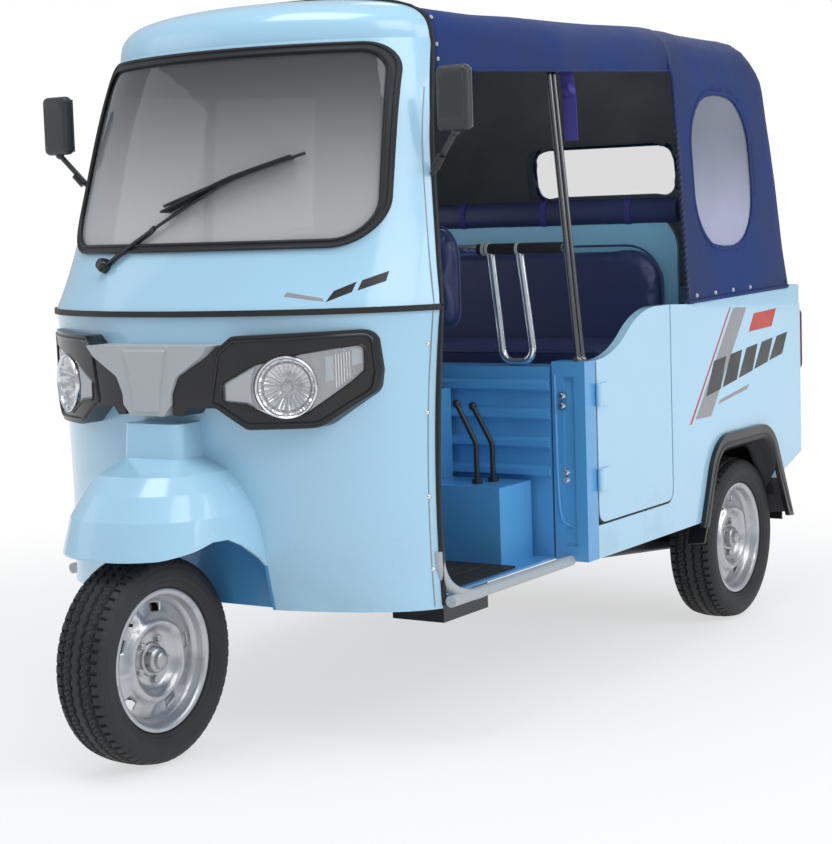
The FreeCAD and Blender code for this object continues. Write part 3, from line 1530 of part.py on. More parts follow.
def tail_form(trim, run_out, run_out_low):
    """The closed rear part: leaning sides, a raked back with a broad roof corner, one round edge all along."""
    top = s.canopy_rear_top - trim
    back = side_rear - trim
    front = canopy_split - run_out
    foot = [(front, top_edge_at(canopy_split) + s.fit_gap - run_out_low),
            (back, s.side_rear_top + s.fit_gap - run_out_low)]
    points = [spot(0, *foot[0]), spot(0, *foot[1]), spot(0, back - s.canopy_rake, top), spot(0, front, top)]
    side_view = Part.Face(round_corners(points, [0, 0, s.canopy_tail - trim, 0]))
    wide = canopy_low_half * 2
    form = side_view.extrude(spot(wide * 2, 0, 0))
    form.translate(spot(-wide, 0, 0))
    low = s.side_rear_top - run_out_low - s.overrun
    lean = (canopy_low_half - canopy_mid_half) / (s.canopy_rear_top - s.side_rear_top)
    low_half = canopy_low_half - trim + (s.side_rear_top - low) * lean
    high_half = canopy_mid_half - trim - s.overrun * lean
    high = s.canopy_rear_top + s.overrun
    across = Part.Face(wire([spot(-low_half, front - s.overrun, low), spot(low_half, front - s.overrun, low),
                             spot(high_half, front - s.overrun, high), spot(-high_half, front - s.overrun, high)]))
    form = form.common(across.extrude(spot(0, back - front + s.overrun * 2, 0))).Solids[0]
    edges = [edge for edge in form.Edges if long_edge(edge, front, float(foot[0][1]))]
    return form.makeFillet(float(s.canopy_shoulder - trim), edges)


def long_edge(edge, front, foot_level):
    """Whether an edge runs along the tail's sides, over its roof corner or down its back."""
    middle = edge.CenterOfMass
    near = float(s.canopy_wall)
    beside = abs(middle.x) > float(canopy_mid_half) - near
    behind_front = middle.y > float(front) + near
    above_foot = middle.z > foot_level + near
    return beside and behind_front and above_foot


def canopy():
    front_stations = [
        (cab_edge + s.fit_gap, canopy_front_half, s.valance_front_level, canopy_front_half - s.canopy_wall,
         s.canopy_front_top, s.canopy_front_shoulder),
        (post_y, canopy_post_half, s.valance_post_level, canopy_post_half - s.canopy_wall, s.canopy_post_top,
         s.canopy_shoulder),
        (canopy_split, canopy_mid_half, s.valance_rear_level, canopy_mid_half - s.canopy_wall, s.canopy_top,
         s.canopy_shoulder),
    ]
    outer = hood(front_stations, 0, 0, 0)
    inner = hood(front_stations, s.canopy_wall, s.overrun, s.overrun)
    feature(outer.cut(inner), "canopy_front")

    shell = tail_form(0, 0, 0).cut(tail_form(s.canopy_wall, s.overrun, s.overrun))
    window = oval().extrude(spot(canopy_low_half * 4, 0, 0))
    window.translate(spot(-canopy_low_half * 2, 0, 0))
    back = back_window()
    feature(shell.cut(window).cut(back), "canopy_rear")
    start = s.canopy_wall / 2 - s.film / 2
    film = tail_form(start, 0, 0).cut(tail_form(start + s.film, s.overrun, s.overrun))
    panes = film.common(Part.Compound([window, back]))
    feature(Part.Compound(panes.Solids), "canopy_windows")


def oval():
    points = [spot(0, oval_y - s.oval_half_length, s.oval_level - s.oval_half_height),
              spot(0, oval_y + s.oval_half_length, s.oval_level - s.oval_half_height),
              spot(0, oval_y + s.oval_half_length, s.oval_level + s.oval_half_height),
              spot(0, oval_y - s.oval_half_length, s.oval_level + s.oval_half_height)]
    return Part.Face(round_corners(points, [s.oval_corner] * len(points)))


def back_window():
    half = s.rear_window_half
    corner = float(s.rear_window_half_height) / 2
    start = side_rear - s.canopy_rake - s.overrun
    points = [spot(-half, start, s.rear_window_level - s.rear_window_half_height),
              spot(half, start, s.rear_window_level - s.rear_window_half_height),
              spot(half, start, s.rear_window_level + s.rear_window_half_height),
              spot(-half, start, s.rear_window_level + s.rear_window_half_height)]
    return Part.Face(round_corners(points, [corner] * len(points))).extrude(spot(0, s.canopy_rake + s.overrun * 2, 0))


wheels()
cab()
roof_cap()
dashboard()
wiper()
mirrors()
steering()
floor()
chassis()
bulkhead()
seats()
sides()
doors()
rear_trim()
posts()
canopy()
doc.recompute()

for item in doc.Objects:
    if "Invalid" in item.State or "Error" in item.State:
        raise RuntimeError("%s failed: %s" % (item.Name, item.State))

os.makedirs("parts", exist_ok=True)
for item in nodes:
    if item.Shape.isNull() or not item.Shape.isValid() or not item.Shape.Solids:
        raise RuntimeError("%s has no sound solid" % item.Label)
for item in nodes:
    item.Shape.exportStep(os.path.join("parts", item.Label + ".step"))
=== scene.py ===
import json
import math

import bmesh
import bpy
from mathutils import Matrix, Vector, noise
from mathutils.bvhtree import BVHTree


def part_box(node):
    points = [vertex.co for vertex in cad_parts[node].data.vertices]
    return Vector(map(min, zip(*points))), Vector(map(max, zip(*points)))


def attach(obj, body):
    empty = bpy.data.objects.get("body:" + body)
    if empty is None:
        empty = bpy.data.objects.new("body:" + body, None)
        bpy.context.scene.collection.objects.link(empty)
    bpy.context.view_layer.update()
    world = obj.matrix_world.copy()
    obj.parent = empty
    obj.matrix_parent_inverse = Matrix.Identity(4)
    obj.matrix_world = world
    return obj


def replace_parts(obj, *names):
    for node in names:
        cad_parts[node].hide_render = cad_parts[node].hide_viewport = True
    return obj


# An auto rickshaw: steel cab, steered front wheel, half doors, bench and a soft navy canopy.
# Everything is in metres in the frame's own place: +X is the vehicle's left, +Y its rear, +Z up.

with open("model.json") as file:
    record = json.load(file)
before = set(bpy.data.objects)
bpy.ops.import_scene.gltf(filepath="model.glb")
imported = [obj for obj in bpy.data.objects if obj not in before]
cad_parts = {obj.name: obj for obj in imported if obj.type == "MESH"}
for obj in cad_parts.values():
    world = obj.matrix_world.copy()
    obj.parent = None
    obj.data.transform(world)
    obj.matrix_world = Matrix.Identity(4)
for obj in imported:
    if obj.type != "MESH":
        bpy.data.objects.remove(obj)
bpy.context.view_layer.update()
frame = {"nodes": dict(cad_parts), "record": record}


# Shader sums

class Signal:
    """One output of a node; sums of signals add the Math nodes that work them out."""

    def __init__(self, paint, socket):
        self.paint = paint
        self.socket = socket

    def __add__(self, other):
        return self.paint.maths("ADD", self, other)

    def __mul__(self, other):
        return self.paint.maths("MULTIPLY", self, other)

    def __pow__(self, other):
        return self.paint.maths("POWER", self, other)


class Paint:
    """A material and the nodes that feed its shader."""

    def __init__(self, name, color, roughness=0.5, **numbers):
        self.material = bpy.data.materials.new(name)
        self.material.use_nodes = True
        self.tree = self.material.node_tree
        self.shader = self.tree.nodes["Principled BSDF"]
        self.place_signal = None
        self.shader.inputs["Base Color"].default_value = (*color, 1.0)
        self.shader.inputs["Roughness"].default_value = roughness
        for key, number in numbers.items():
            self.shader.inputs[key.replace("_", " ").title().replace("Ior", "IOR")].default_value = number

    def add(self, kind, settings=None, out=0, **values):
        """A node by its type, its settings first, then the values or signals of its sockets."""
        item = self.tree.nodes.new("ShaderNode" + kind)
        for key, setting in (settings or {}).items():
            setattr(item, key, setting)
        for key, value in values.items():
            name = key.replace("_", " ")
            socket = item.inputs[int(name[5:])] if name.startswith("slot ") else item.inputs[name]
            self.feed(socket, value)
        return Signal(self, item.outputs[out])

    def feed(self, socket, value):
        if isinstance(value, Signal):
            self.tree.links.new(value.socket, socket)
        elif socket.type == "RGBA":
            socket.default_value = (*value, 1.0)
        else:
            socket.default_value = value

    def maths(self, operation, first, second=0.0):
        return self.add("Math", {"operation": operation}, slot_0=first, slot_1=second)

    def place(self):
        """Where a point is on the object, in metres."""
        if self.place_signal is None:
            self.place_signal = self.add("TexCoord", out="Object")
        return self.place_signal

    def part(self, axis):
        """One of the three coordinates of a point."""
        return self.add("SeparateXYZ", out=axis, Vector=self.place())

    def noise(self, scale, detail=3.0, rough=0.5):
        return self.add("TexNoise", Vector=self.place(), Scale=scale, Detail=detail, Roughness=rough)

    def ramp(self, value, low, high, start=0.0, end=1.0):
        """Carry a value from one range smoothly to another."""
        settings = {"interpolation_type": "SMOOTHSTEP"}
        return self.add("MapRange", settings, slot_0=value, slot_1=low, slot_2=high, slot_3=start, slot_4=end)

    def blend(self, first, second, factor):
        """Mix two colours."""
        item = self.tree.nodes.new("ShaderNodeMix")
        item.data_type = "RGBA"
        self.feed(item.inputs["Factor"], factor)
        self.feed(item.inputs[6], first)
        self.feed(item.inputs[7], second)
        return Signal(self, item.outputs[2])

    def bump(self, height, strength, distance, under=None):
        values = {"Height": height, "Strength": strength, "Distance": distance}
        if under is not None:
            values["Normal"] = under
        return self.add("Bump", None, **values)

    def color(self, signal):
        self.feed(self.shader.inputs["Base Color"], signal)
        return self

    def rough(self, signal):
        self.feed(self.shader.inputs["Roughness"], signal)
        return self

    def normal(self, signal):
        self.feed(self.shader.inputs["Normal"], signal)
        return self

    def alpha(self, signal):
        self.feed(self.shader.inputs["Alpha"], signal)
        return self


# Finishes

BODY_BLUE = (0.41, 0.67, 0.85)
INNER_BLUE = (0.092, 0.36, 0.70)
CANVAS_NAVY = (0.012, 0.040, 0.180)
VINYL_NAVY = (0.033, 0.045, 0.130)
ROAD_DUST = (0.30, 0.33, 0.33)
# Heights between which things change, in metres: dust on the paint, the glass's painted reflection, the film's change
# from darker above to paler below
DUST_LEVELS = (0.30, 0.62)
GLASS_LEVELS = (1.20, 1.66)
FILM_LEVELS = (1.18, 1.50)
THREADS = 2600.0


def sprayed_steel(name, color, deep, roughness=0.22):
    """Body paint under clear coat, with slight orange peel and road dust low down."""
    paint = Paint(name, color, roughness, coat_weight=0.6, coat_roughness=0.06)
    dust = paint.ramp(paint.part("Z"), *DUST_LEVELS, 1.0, 0.0) * paint.ramp(paint.noise(9.0, 5.0, 0.6), 0.42, 0.7)
    cloud = paint.noise(2.3, 2.0)
    shade = paint.blend(color, deep, paint.ramp(cloud, 0.3, 0.75, 0.0, 0.30))
    paint.color(paint.blend(shade, ROAD_DUST, dust * 0.16))
    paint.rough(paint.ramp(cloud, 0.3, 0.8, roughness, roughness + 0.06) + dust * 0.2)
    peel = paint.bump(paint.noise(420.0, 2.0), 0.06, 0.0004)
    return paint.normal(peel).material


def moulded_plastic(name, color, roughness=0.45, grain=900.0):
    paint = Paint(name, color, roughness)
    paint.rough(paint.ramp(paint.noise(6.0), 0.3, 0.7, roughness - 0.06, roughness + 0.08))
    return paint.normal(paint.bump(paint.noise(grain, 3.0), 0.16, 0.0004)).material


def plated_steel(name, color=(0.75, 0.76, 0.78), roughness=0.12):
    paint = Paint(name, color, roughness, metallic=1.0)
    paint.rough(paint.ramp(paint.noise(14.0, 4.0), 0.35, 0.75, roughness, roughness + 0.12))
    return paint.material


def painted_black_steel(name, color=(0.016, 0.016, 0.018)):
    paint = Paint(name, color, 0.36)
    paint.rough(paint.ramp(paint.noise(22.0, 4.0), 0.3, 0.8, 0.28, 0.5))
    return paint.normal(paint.bump(paint.noise(300.0), 0.1, 0.0004)).material


def road_rubber(name, color, roughness=0.72):
    """Tyre and mat rubber, greyer where it is dusty."""
    paint = Paint(name, color, roughness)
    dust = paint.ramp(paint.noise(11.0, 6.0, 0.62), 0.44, 0.74)
    paint.color(paint.blend(color, (0.06, 0.058, 0.056), dust * 0.5))
    paint.rough(paint.ramp(dust, 0.0, 1.0, roughness - 0.12, roughness + 0.12))
    return paint.normal(paint.bump(paint.noise(520.0, 4.0), 0.22, 0.0006)).material


def wheel_silver(name):
    paint = Paint(name, (0.50, 0.51, 0.53), 0.34, metallic=0.75)
    grime = paint.ramp(paint.noise(26.0, 5.0, 0.62), 0.48, 0.78)
    paint.color(paint.blend((0.52, 0.53, 0.55), (0.17, 0.16, 0.15), grime * 0.4))
    paint.rough(paint.ramp(grime, 0.0, 1.0, 0.28, 0.52))
    return paint.normal(paint.bump(paint.noise(380.0, 2.0), 0.08, 0.0004)).material


def canvas(name, color, deep):
    """Coated canvas: fine plain weave, broad fading and soft slack."""
    paint = Paint(name, color, 0.62, sheen_weight=0.03, specular_ior_level=0.25)
    x, y, z = [paint.maths("SINE", paint.part(axis) * THREADS) for axis in ("X", "Y", "Z")]
    weave = x * y + y * z + x * z
    fade = paint.ramp(paint.noise(3.1, 4.0, 0.55), 0.34, 0.72)
    paint.color(paint.blend(deep, color, fade))
    paint.rough(paint.ramp(fade, 0.0, 1.0, 0.64, 0.78))
    slack = paint.bump(paint.noise(7.0, 3.0, 0.5), 0.25, 0.02)
    return paint.normal(paint.bump(weave, 0.25, 0.0004, slack)).material


def vinyl(name, color, roughness=0.42):
    """Upholstery leathercloth with a pebbled grain."""
    paint = Paint(name, color, roughness)
    cells = paint.add("TexVoronoi", {"feature": "SMOOTH_F1"}, Vector=paint.place(), Scale=420.0)
    wear = paint.ramp(paint.noise(5.0, 3.0), 0.35, 0.75)
    paint.color(paint.blend(color, tuple(min(1.0, part * 1.5 + 0.01) for part in color), wear * 0.4))
    paint.rough(paint.ramp(wear, 0.0, 1.0, roughness + 0.06, roughness - 0.06))
    return paint.normal(paint.bump(cells, 0.3, 0.0006)).material


def windscreen_glass(name):
    """Laminated glass with a painted reflection: the pale sky is painted below and the dark roof above."""
    paint = Paint(name, (0.3, 0.3, 0.3), 0.04)
    # Painted reflection: the colour goes from pale low down to dark high up.
    shade = paint.ramp(paint.part("Z"), *GLASS_LEVELS)
    paint.color(paint.blend((0.50, 0.50, 0.50), (0.07, 0.07, 0.07), shade))
    return paint.alpha(paint.ramp(paint.part("Z"), *GLASS_LEVELS, 0.80, 0.90)).material


def window_film(name):
    """Flexible film: smoky at the sides and paler downwards, clear in the back window."""
    paint = Paint(name, (0.3, 0.3, 0.4), 0.16)
    haze = paint.ramp(paint.noise(3.0, 2.0), 0.3, 0.75, -0.08, 0.08)
    # The colour goes from darker higher up to paler lower down, with a little noise.
    low = paint.ramp(paint.part("Z"), *FILM_LEVELS, 1.0, 0.0) + haze
    paint.color(paint.blend((0.21, 0.225, 0.28), (0.46, 0.46, 0.62), low))
    side = paint.ramp(paint.maths("ABSOLUTE", paint.part("X")), 0.40, 0.48, 0.16, 0.90)
    paint.alpha(side)
    return paint.normal(paint.bump(paint.noise(6.0, 2.0), 0.3, 0.02)).material


def lamp_lens(name, color, alpha):
    paint = Paint(name, color, 0.05, coat_weight=0.5, alpha=alpha)
    return paint.normal(paint.bump(paint.noise(60.0, 1.0), 0.05, 0.001)).material


# Each finish: its material, and the record's slot that it belongs to
FINISH = {
    "body": (sprayed_steel("body_blue", BODY_BLUE, (0.38, 0.64, 0.82)), "paint_blue"),
    "inner": (sprayed_steel("inner_blue", INNER_BLUE, (0.055, 0.20, 0.42), 0.34), "interior_blue"),
    "canvas": (canvas("canopy_canvas", CANVAS_NAVY, (0.015, 0.032, 0.125)), "canopy_navy"),
    "vinyl": (vinyl("seat_vinyl", VINYL_NAVY), "seat_navy"),
    "black": (moulded_plastic("black_plastic", (0.013, 0.013, 0.015)), "black_plastic"),
    "gloss": (moulded_plastic("glossy_black_plastic", (0.010, 0.010, 0.011), 0.2), "black_plastic"),
    "rubber": (moulded_plastic("black_rubber", (0.012, 0.012, 0.013), 0.55, 500.0), "rubber_black"),
    "tyre": (road_rubber("tyre_rubber", (0.017, 0.017, 0.018)), "tyre_black"),
    "mat": (road_rubber("floor_rubber", (0.02, 0.018, 0.017), 0.8), "rubber_black"),
    "rim": (wheel_silver("wheel_silver"), "rim_silver"),
    "silver": (moulded_plastic("silver_plastic", (0.46, 0.47, 0.48), 0.3), "silver_plastic"),
    "chrome": (plated_steel("chrome"), "chrome"),
    "steel": (plated_steel("bare_steel", (0.45, 0.45, 0.46), 0.3), "bare_steel"),
    # The headlamp unit is chrome; this darker copy stands in for the shade and dark reflections round the lamp: painted
    # shade.
    "unit": (plated_steel("lamp_unit_chrome_painted_shade", (0.36, 0.37, 0.38), 0.2), "chrome"),
    "iron": (painted_black_steel("black_steel"), "steel_black"),
    "engine": (painted_black_steel("engine_casting", (0.07, 0.07, 0.075)), "engine_grey"),
    "glass": (windscreen_glass("windscreen_glass"), "screen_glass"),
    "film": (window_film("window_film"), "window_film"),
    "red": (lamp_lens("red_lens", (0.5, 0.01, 0.01), 0.9), "tail_red"),
    "amber": (lamp_lens("amber_lens", (0.7, 0.22, 0.01), 0.9), "tail_red"),
    "clear": (lamp_lens("clear_lens", (0.9, 0.92, 0.95), 0.09), "screen_glass"),
    "mirror": (plated_steel("reflector", (0.66, 0.67, 0.68), 0.05), "chrome"),
    "grey": (moulded_plastic("grey_plastic", (0.035, 0.035, 0.037), 0.35), "black_plastic"),
    "white": (moulded_plastic("rail_paint", (0.42, 0.46, 0.48), 0.3), "silver_plastic"),
    "webbing": (canvas("strap_webbing", (0.075, 0.070, 0.33), (0.055, 0.050, 0.25)), "canopy_navy"),
    "lining": (vinyl("roof_lining", (0.33, 0.333, 0.327), 0.65), "canopy_navy"),
    # The seat back panel is the body's paint; this copy is set brighter and bluer to stand in for the light inside the
    # cab: painted light.
    "panel": (sprayed_steel("panel_blue_painted_light", (0.34, 0.74, 0.98), (0.30, 0.69, 0.94), 0.3), "paint_blue"),
    "post": (plated_steel("dark_steel", (0.17, 0.17, 0.175), 0.16), "steel_black"),
    "stripe_black": (moulded_plastic("black_stripe", (0.015, 0.015, 0.017), 0.3), "black_plastic"),
    "stripe_grey": (moulded_plastic("grey_stripe", (0.30, 0.30, 0.31), 0.3), "silver_plastic"),
    "stripe_red": (moulded_plastic("red_stripe", (0.55, 0.035, 0.02), 0.3), "tail_red"),
}

NODE_FINISH = {
    "body": ("front_cowl", "front_fender", "windscreen_frame", "roof_cap", "side_panel_left",
             "side_panel_right", "rear_panel", "door_left", "door_right"),
    "inner": ("front_wheel_arch", "floor_pan", "bulkhead", "step_box", "driver_seat_base", "bench_base",
              "luggage_deck", "door_pillars"),
    "rubber": ("windscreen_gasket", "belt_moulding", "mudflaps", "rear_wheel_arches"),
    "glass": ("windscreen_glass",),
    "clear": ("lamp_lenses",),
    "mirror": ("mirror_glasses",),
    "gloss": ("lamp_bezels", "dashboard", "under_floor_box", "arch_flares", "rear_bumper"),
    "grey": ("mirrors",),
    "chrome": ("partition_guard",),
    "silver": ("nose_plate",),
    "iron": ("wiper", "steering_fork", "front_damper", "handlebar", "chassis_frame", "rear_suspension", "exhaust",
             "canopy_posts", "control_levers"),
    "mat": ("floor_mat",),
    "white": ("sill_rails",),
    # The headlamps take the darker copy of chrome with painted shade.
    "unit": ("headlamps",),
    # The seat back panel takes the copy of the body paint with painted light.
    "panel": ("seat_back_panel",),
    "engine": ("engine_block",),
    "vinyl": ("driver_cushion", "driver_backrest", "passenger_cushion", "passenger_backrest"),
    "red": ("tail_lamps",),
    "canvas": ("canopy_front", "canopy_rear"),
    "film": ("canopy_windows",),
    "tyre": ("front_tyre", "rear_tyre_left", "rear_tyre_right"),
    "rim": ("front_rim", "rear_rim_left", "rear_rim_right"),
}


def finish_nodes():
    for finish, names in NODE_FINISH.items():
        for name in names:
            for slot in frame["nodes"][name].material_slots:
                slot.material = FINISH[finish][0]


# Where things are

MILLIMETRE = 0.001
SIDES = ((1, "left"), (-1, "right"))
UP, BACK = (0, 0, 1), (0, 1, 0)
# The way that a ray from the front goes
BACKWARD = Vector(BACK)
FRONT_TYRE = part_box("front_tyre")
AXLE_Y = (FRONT_TYRE[0][1] + FRONT_TYRE[1][1]) / 2


def at(x, y, z):
    """A place from millimetres: x from the middle plane, y back from the front axle, z from the ground."""
    return Vector((x * MILLIMETRE, y * MILLIMETRE + AXLE_Y, z * MILLIMETRE))


class Box:
    """The box of a node, in metres."""

    def __init__(self, *nodes):
        corners = [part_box(node) for node in nodes]
        self.low = Vector([min(low[axis] for low, high in corners) for axis in range(3)])
        self.high = Vector([max(high[axis] for low, high in corners) for axis in range(3)])
        self.middle = (self.low + self.high) / 2
        self.size = self.high - self.low


class Skin:
    """The surface of one or more nodes, to lay pieces on."""

    def __init__(self, *nodes):
        places, faces = [], []
        for node in nodes:
            mesh = frame["nodes"][node].data
            start = len(places)
            places += [vertex.co.copy() for vertex in mesh.vertices]
            faces += [[start + index for index in face.vertices] for face in mesh.polygons]
        self.tree = BVHTree.FromPolygons(places, faces)

    def hit(self, place, way):
        """The first point of the surface along a way, and its normal turned against that way."""
        way = Vector(way).normalized()
        spot, normal = self.tree.ray_cast(place, way)[:2]
        if spot is None:
            return None, None
        return spot, normal if normal.dot(way) < 0 else -normal

    def near(self, place):
        return self.tree.find_nearest(place)[0]


# Making pieces

SAME_PLACE = 0.00002
# How far off a ray starts, and how deep a patch's rim goes into its skin
RAY = 1.5
PATCH_SUNK = 0.0005
EDGE_SHARE = 0.3


def piece(name, places, faces, finish, body="chassis", cut=None):
    """A mesh object from points and faces, with its finish and body."""
    mesh = bpy.data.meshes.new(name)
    mesh.from_pydata([tuple(place) for place in places], [], faces)
    mesh.update()
    made = bpy.data.objects.new(name, mesh)
    bpy.context.collection.objects.link(made)
    mesh.materials.append(FINISH[finish][0])
    net = bmesh.new()
    net.from_mesh(mesh)
    bmesh.ops.remove_doubles(net, verts=net.verts, dist=SAME_PLACE)
    bmesh.ops.recalc_face_normals(net, faces=net.faces)
    net.to_mesh(mesh)
    net.free()
    mesh.shade_smooth()
    if cut is not None:
        mesh.set_sharp_from_angle(angle=math.radians(cut))
    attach(made, body)
    return made


def grid_faces(rows, columns, close_rows=False, close_columns=False):
    """The faces of a net of points laid row by row."""
    faces = []
    for row in range(rows if close_rows else rows - 1):
        for column in range(columns if close_columns else columns - 1):
            after, beside = (row + 1) % rows, (column + 1) % columns
            faces.append((row * columns + column, row * columns + beside, after * columns + beside,
                          after * columns + column))
    return faces


def end_caps(rows, columns):
    """The faces that close both ends of a net whose columns meet."""
    return [tuple(range(columns))[::-1], tuple(range((rows - 1) * columns, rows * columns))]


def ways_across(way):
    """Two ways square to a way and to each other."""
    across = way.orthogonal().normalized()
    return across, way.cross(across)


def round_way(ways, angle):
    """The way at an angle from the first of two ways towards the second."""
    return ways[0] * math.cos(angle) + ways[1] * math.sin(angle)


def turned(name, profile, middle, finish, body="chassis", axis=(1, 0, 0), sides=64, cut=35, shape=None, skip=None):
    """A form turned about an axis: the profile gives (along, radius) and shape may move each point."""
    way = Vector(axis).normalized()
    ways = ways_across(way)
    places = []
    for step in range(sides):
        angle = 2 * math.pi * step / sides
        out = round_way(ways, angle)
        for along, radius in profile:
            if shape:
                along, radius = shape(along, radius, angle)
            places.append(Vector(middle) + way * along + out * radius)
    faces = grid_faces(sides, len(profile), close_rows=True)
    if skip:
        bands = len(profile) - 1
        faces = [face for index, face in enumerate(faces) if not skip(index // bands, index % bands)]
    return piece(name, places, faces, finish, body, cut)


def swept(name, route, section, finish, body="chassis", closed=False, up=None):
    """A section of (side, out) pairs carried along a route; up gives one outward way, or one for each point."""
    count = len(route)
    places = []
    out = None
    for index, place in enumerate(route):
        before = route[index - 1] if index or closed else place
        after = route[(index + 1) % count] if index < count - 1 or closed else place
        way = (after - before).normalized()
        if up:
            out = Vector(up if isinstance(up, tuple) else up[index])
        elif out is None:
            out = way.orthogonal()
        out = (out - way * out.dot(way)).normalized()
        side = way.cross(out)
        places += [place + side * across + out * rise for across, rise in section]
    faces = grid_faces(count, len(section), close_rows=closed, close_columns=True)
    if not closed:
        faces += end_caps(count, len(section))
    return piece(name, places, faces, finish, body, cut=40)


def ring(radius, sides=12, flat=1.0):
    """A round section, or a flattened one."""
    return [(radius * math.cos(2 * math.pi * step / sides), radius * flat * math.sin(2 * math.pi * step / sides))
            for step in range(sides)]


def smooth_route(points, steps):
    """A smooth line through points, for rods, welts and beads."""
    route = []
    for span, (start, end) in enumerate(zip(points, points[1:])):
        before = points[max(span - 1, 0)]
        after = points[min(span + 2, len(points) - 1)]
        for step in range(steps):
            share = step / steps
            route.append(0.5 * ((2 * start) + (end - before) * share
                                + (2 * before - 5 * start + 4 * end - after) * share ** 2
                                + (3 * start - before - 3 * end + after) * share ** 3))
    return route + [points[-1]]


def rectangle(low, high):
    """The corners of a flat rectangle, from its low corner round."""
    return [low, (high[0], low[1]), high, (low[0], high[1])]


def rounded_corners(points, radii, steps):
    """A closed flat outline with an arc at each corner, as a list of points."""
    outline = []
    count = len(points)
    for index, corner in enumerate(points):
        corner = Vector(corner)
        into = (Vector(points[index - 1]) - corner).normalized()
        away = (Vector(points[(index + 1) % count]) - corner).normalized()
        half = (math.pi - into.angle(away)) / 2
        radius = radii[index] if isinstance(radii, (list, tuple)) else radii
        reach = radius * math.tan(half)
        middle = corner + (into + away).normalized() * (radius / math.cos(half))
        first, last = corner + into * reach - middle, corner + away * reach - middle
        turn = first.angle(last)
        for step in range(steps + 1):
            share = step / steps
            arm = (first * math.sin((1 - share) * turn) + last * math.sin(share * turn)) / math.sin(turn)
            outline.append(middle + arm)
    return outline


def joined(name, parts):
    """Join objects of one body and finish into one piece."""
    with bpy.context.temp_override(active_object=parts[0], selected_editable_objects=parts):
        bpy.ops.object.join()
    parts[0].name = name
    return parts[0]


def bolt(name, place, way, radius, finish="steel", body="chassis", head="dome"):
    """A fastener's head: a dome, or six flats over a washer."""
    if head == "dome":
        height = radius * 0.55
        profile = [(-radius * 0.3, radius)]
        profile += [(height * math.sin(angle), radius * math.cos(angle)) for angle in (0, 0.5, 0.95, 1.3)]
        return turned(name, profile + [(height, 0.0)], place, finish, body, way, sides=12)
    washer, rise = radius * 1.55, radius * 1.1
    profile = [(-radius * 0.2, washer), (radius * 0.2, washer), (radius * 0.2, radius), (rise * 0.9, radius),
               (rise, radius * 0.86), (rise, 0.0)]
    flat = math.pi / 3

    def six_flats(along, reach, angle):
        return along, reach if reach > radius else reach / max(math.cos((angle + 0.26) % flat - flat / 2), 0.8)

    return turned(name, profile, place, finish, body, way, sides=12, shape=six_flats)


def bolts(name, spots, radius, finish="steel", body="chassis", head="dome"):
    """Fasteners' heads as one piece, each from its place and its way."""
    heads = [bolt("%s_%d" % (name, number), place, way, radius, finish, body, head)
             for number, (place, way) in enumerate(spots)]
    return joined(name, heads)


def swept_row(name, lines, section, finish, up=None):
    """One section carried along several lines, as one piece."""
    return joined(name, [swept("%s_%d" % (name, number), line, section, finish, up=up)
                         for number, line in enumerate(lines)])


def patch(name, outline, skin, way, finish, rise=0.001, edge=0.94, rings=5, fine=4):
    """A plate or pressing laid on a skin: an outline of places, seen against the way, with a bevelled edge."""
    way = Vector(way).normalized()
    fuller = []
    for index, place in enumerate(outline):
        after = outline[(index + 1) % len(outline)]
        fuller += [Vector(place).lerp(Vector(after), step / fine) for step in range(fine)]
    middle = sum(fuller, Vector()) / len(fuller)

    def on_skin(place, proud):
        return (skin.hit(place - way * RAY, way)[0] or skin.near(place)) - way * proud

    shares = [1.0, edge] + [edge * (1 - step / rings) for step in range(1, rings)]
    places = []
    for number, share in enumerate(shares):
        places += [on_skin(middle.lerp(place, share), rise if number else -PATCH_SUNK) for place in fuller]
    places.append(on_skin(middle, rise))
    count = len(fuller)
    faces = grid_faces(len(shares), count, close_columns=True)
    last = (len(shares) - 1) * count
    faces += [(last + step, last + (step + 1) % count, len(places) - 1) for step in range(count)]
    return piece(name, places, faces, finish, cut=30)


def laid(skin, places, way, proud=0.0):
    """Places moved along a way onto a skin, and the outward way at each."""
    way = Vector(way).normalized()
    spots, outs = [], []
    for place in places:
        spot, normal = skin.hit(Vector(place) - way * RAY, way)
        if spot is None:
            spot, normal = skin.near(Vector(place)), -way
        spots.append(spot + normal * proud)
        outs.append(normal)
    return spots, outs


CORNER_STEPS = 7


def open_corners(points, radius):
    """A line through corners, with an arc at each of the inner ones."""
    line = [Vector(points[0])]
    for before, corner, after in zip(points, points[1:], points[2:]):
        corner = Vector(corner)
        into, away = (Vector(before) - corner).normalized(), (Vector(after) - corner).normalized()
        half = (math.pi - into.angle(away)) / 2
        start, end = corner + into * radius * math.tan(half), corner + away * radius * math.tan(half)
        for step in range(CORNER_STEPS + 1):
            share = step / CORNER_STEPS
            line.append(start * (1 - share) ** 2 + corner * 2 * share * (1 - share) + end * share ** 2)
    return line + [Vector(points[-1])]


def divided(points, step):
    """The same line with more places on its long runs."""
    line = []
    for start, end in zip(points, points[1:]):
        count = max(1, round((end - start).length / step))
        line += [start.lerp(end, index / count) for index in range(count)]
    return line + [points[-1]]


def band(width, thick):
    """A flat section with rounded edges, for strips, straps and trims."""
    a, b = width / 2, thick / 2
    r = min(a, b) * EDGE_SHARE
    return [(a - r, -b), (a, -b + r), (a, b - r), (a - r, b), (-a + r, b), (-a, b - r), (-a, -b + r), (-a + r, -b)]


# Studio

# The photograph's camera, found from the wheels, lamps and panel corners; its place is in metres from the front axle
CAMERA_PLACE = (2.985, -3.464, 1.2438)
CAMERA_YAW = math.radians(32.56)
CAMERA_PITCH = math.radians(5.82)
CAMERA_ROLL = math.radians(-1.86)
FOCAL_SHARE = 1964.0 / 844.0
SENSOR = 36.0
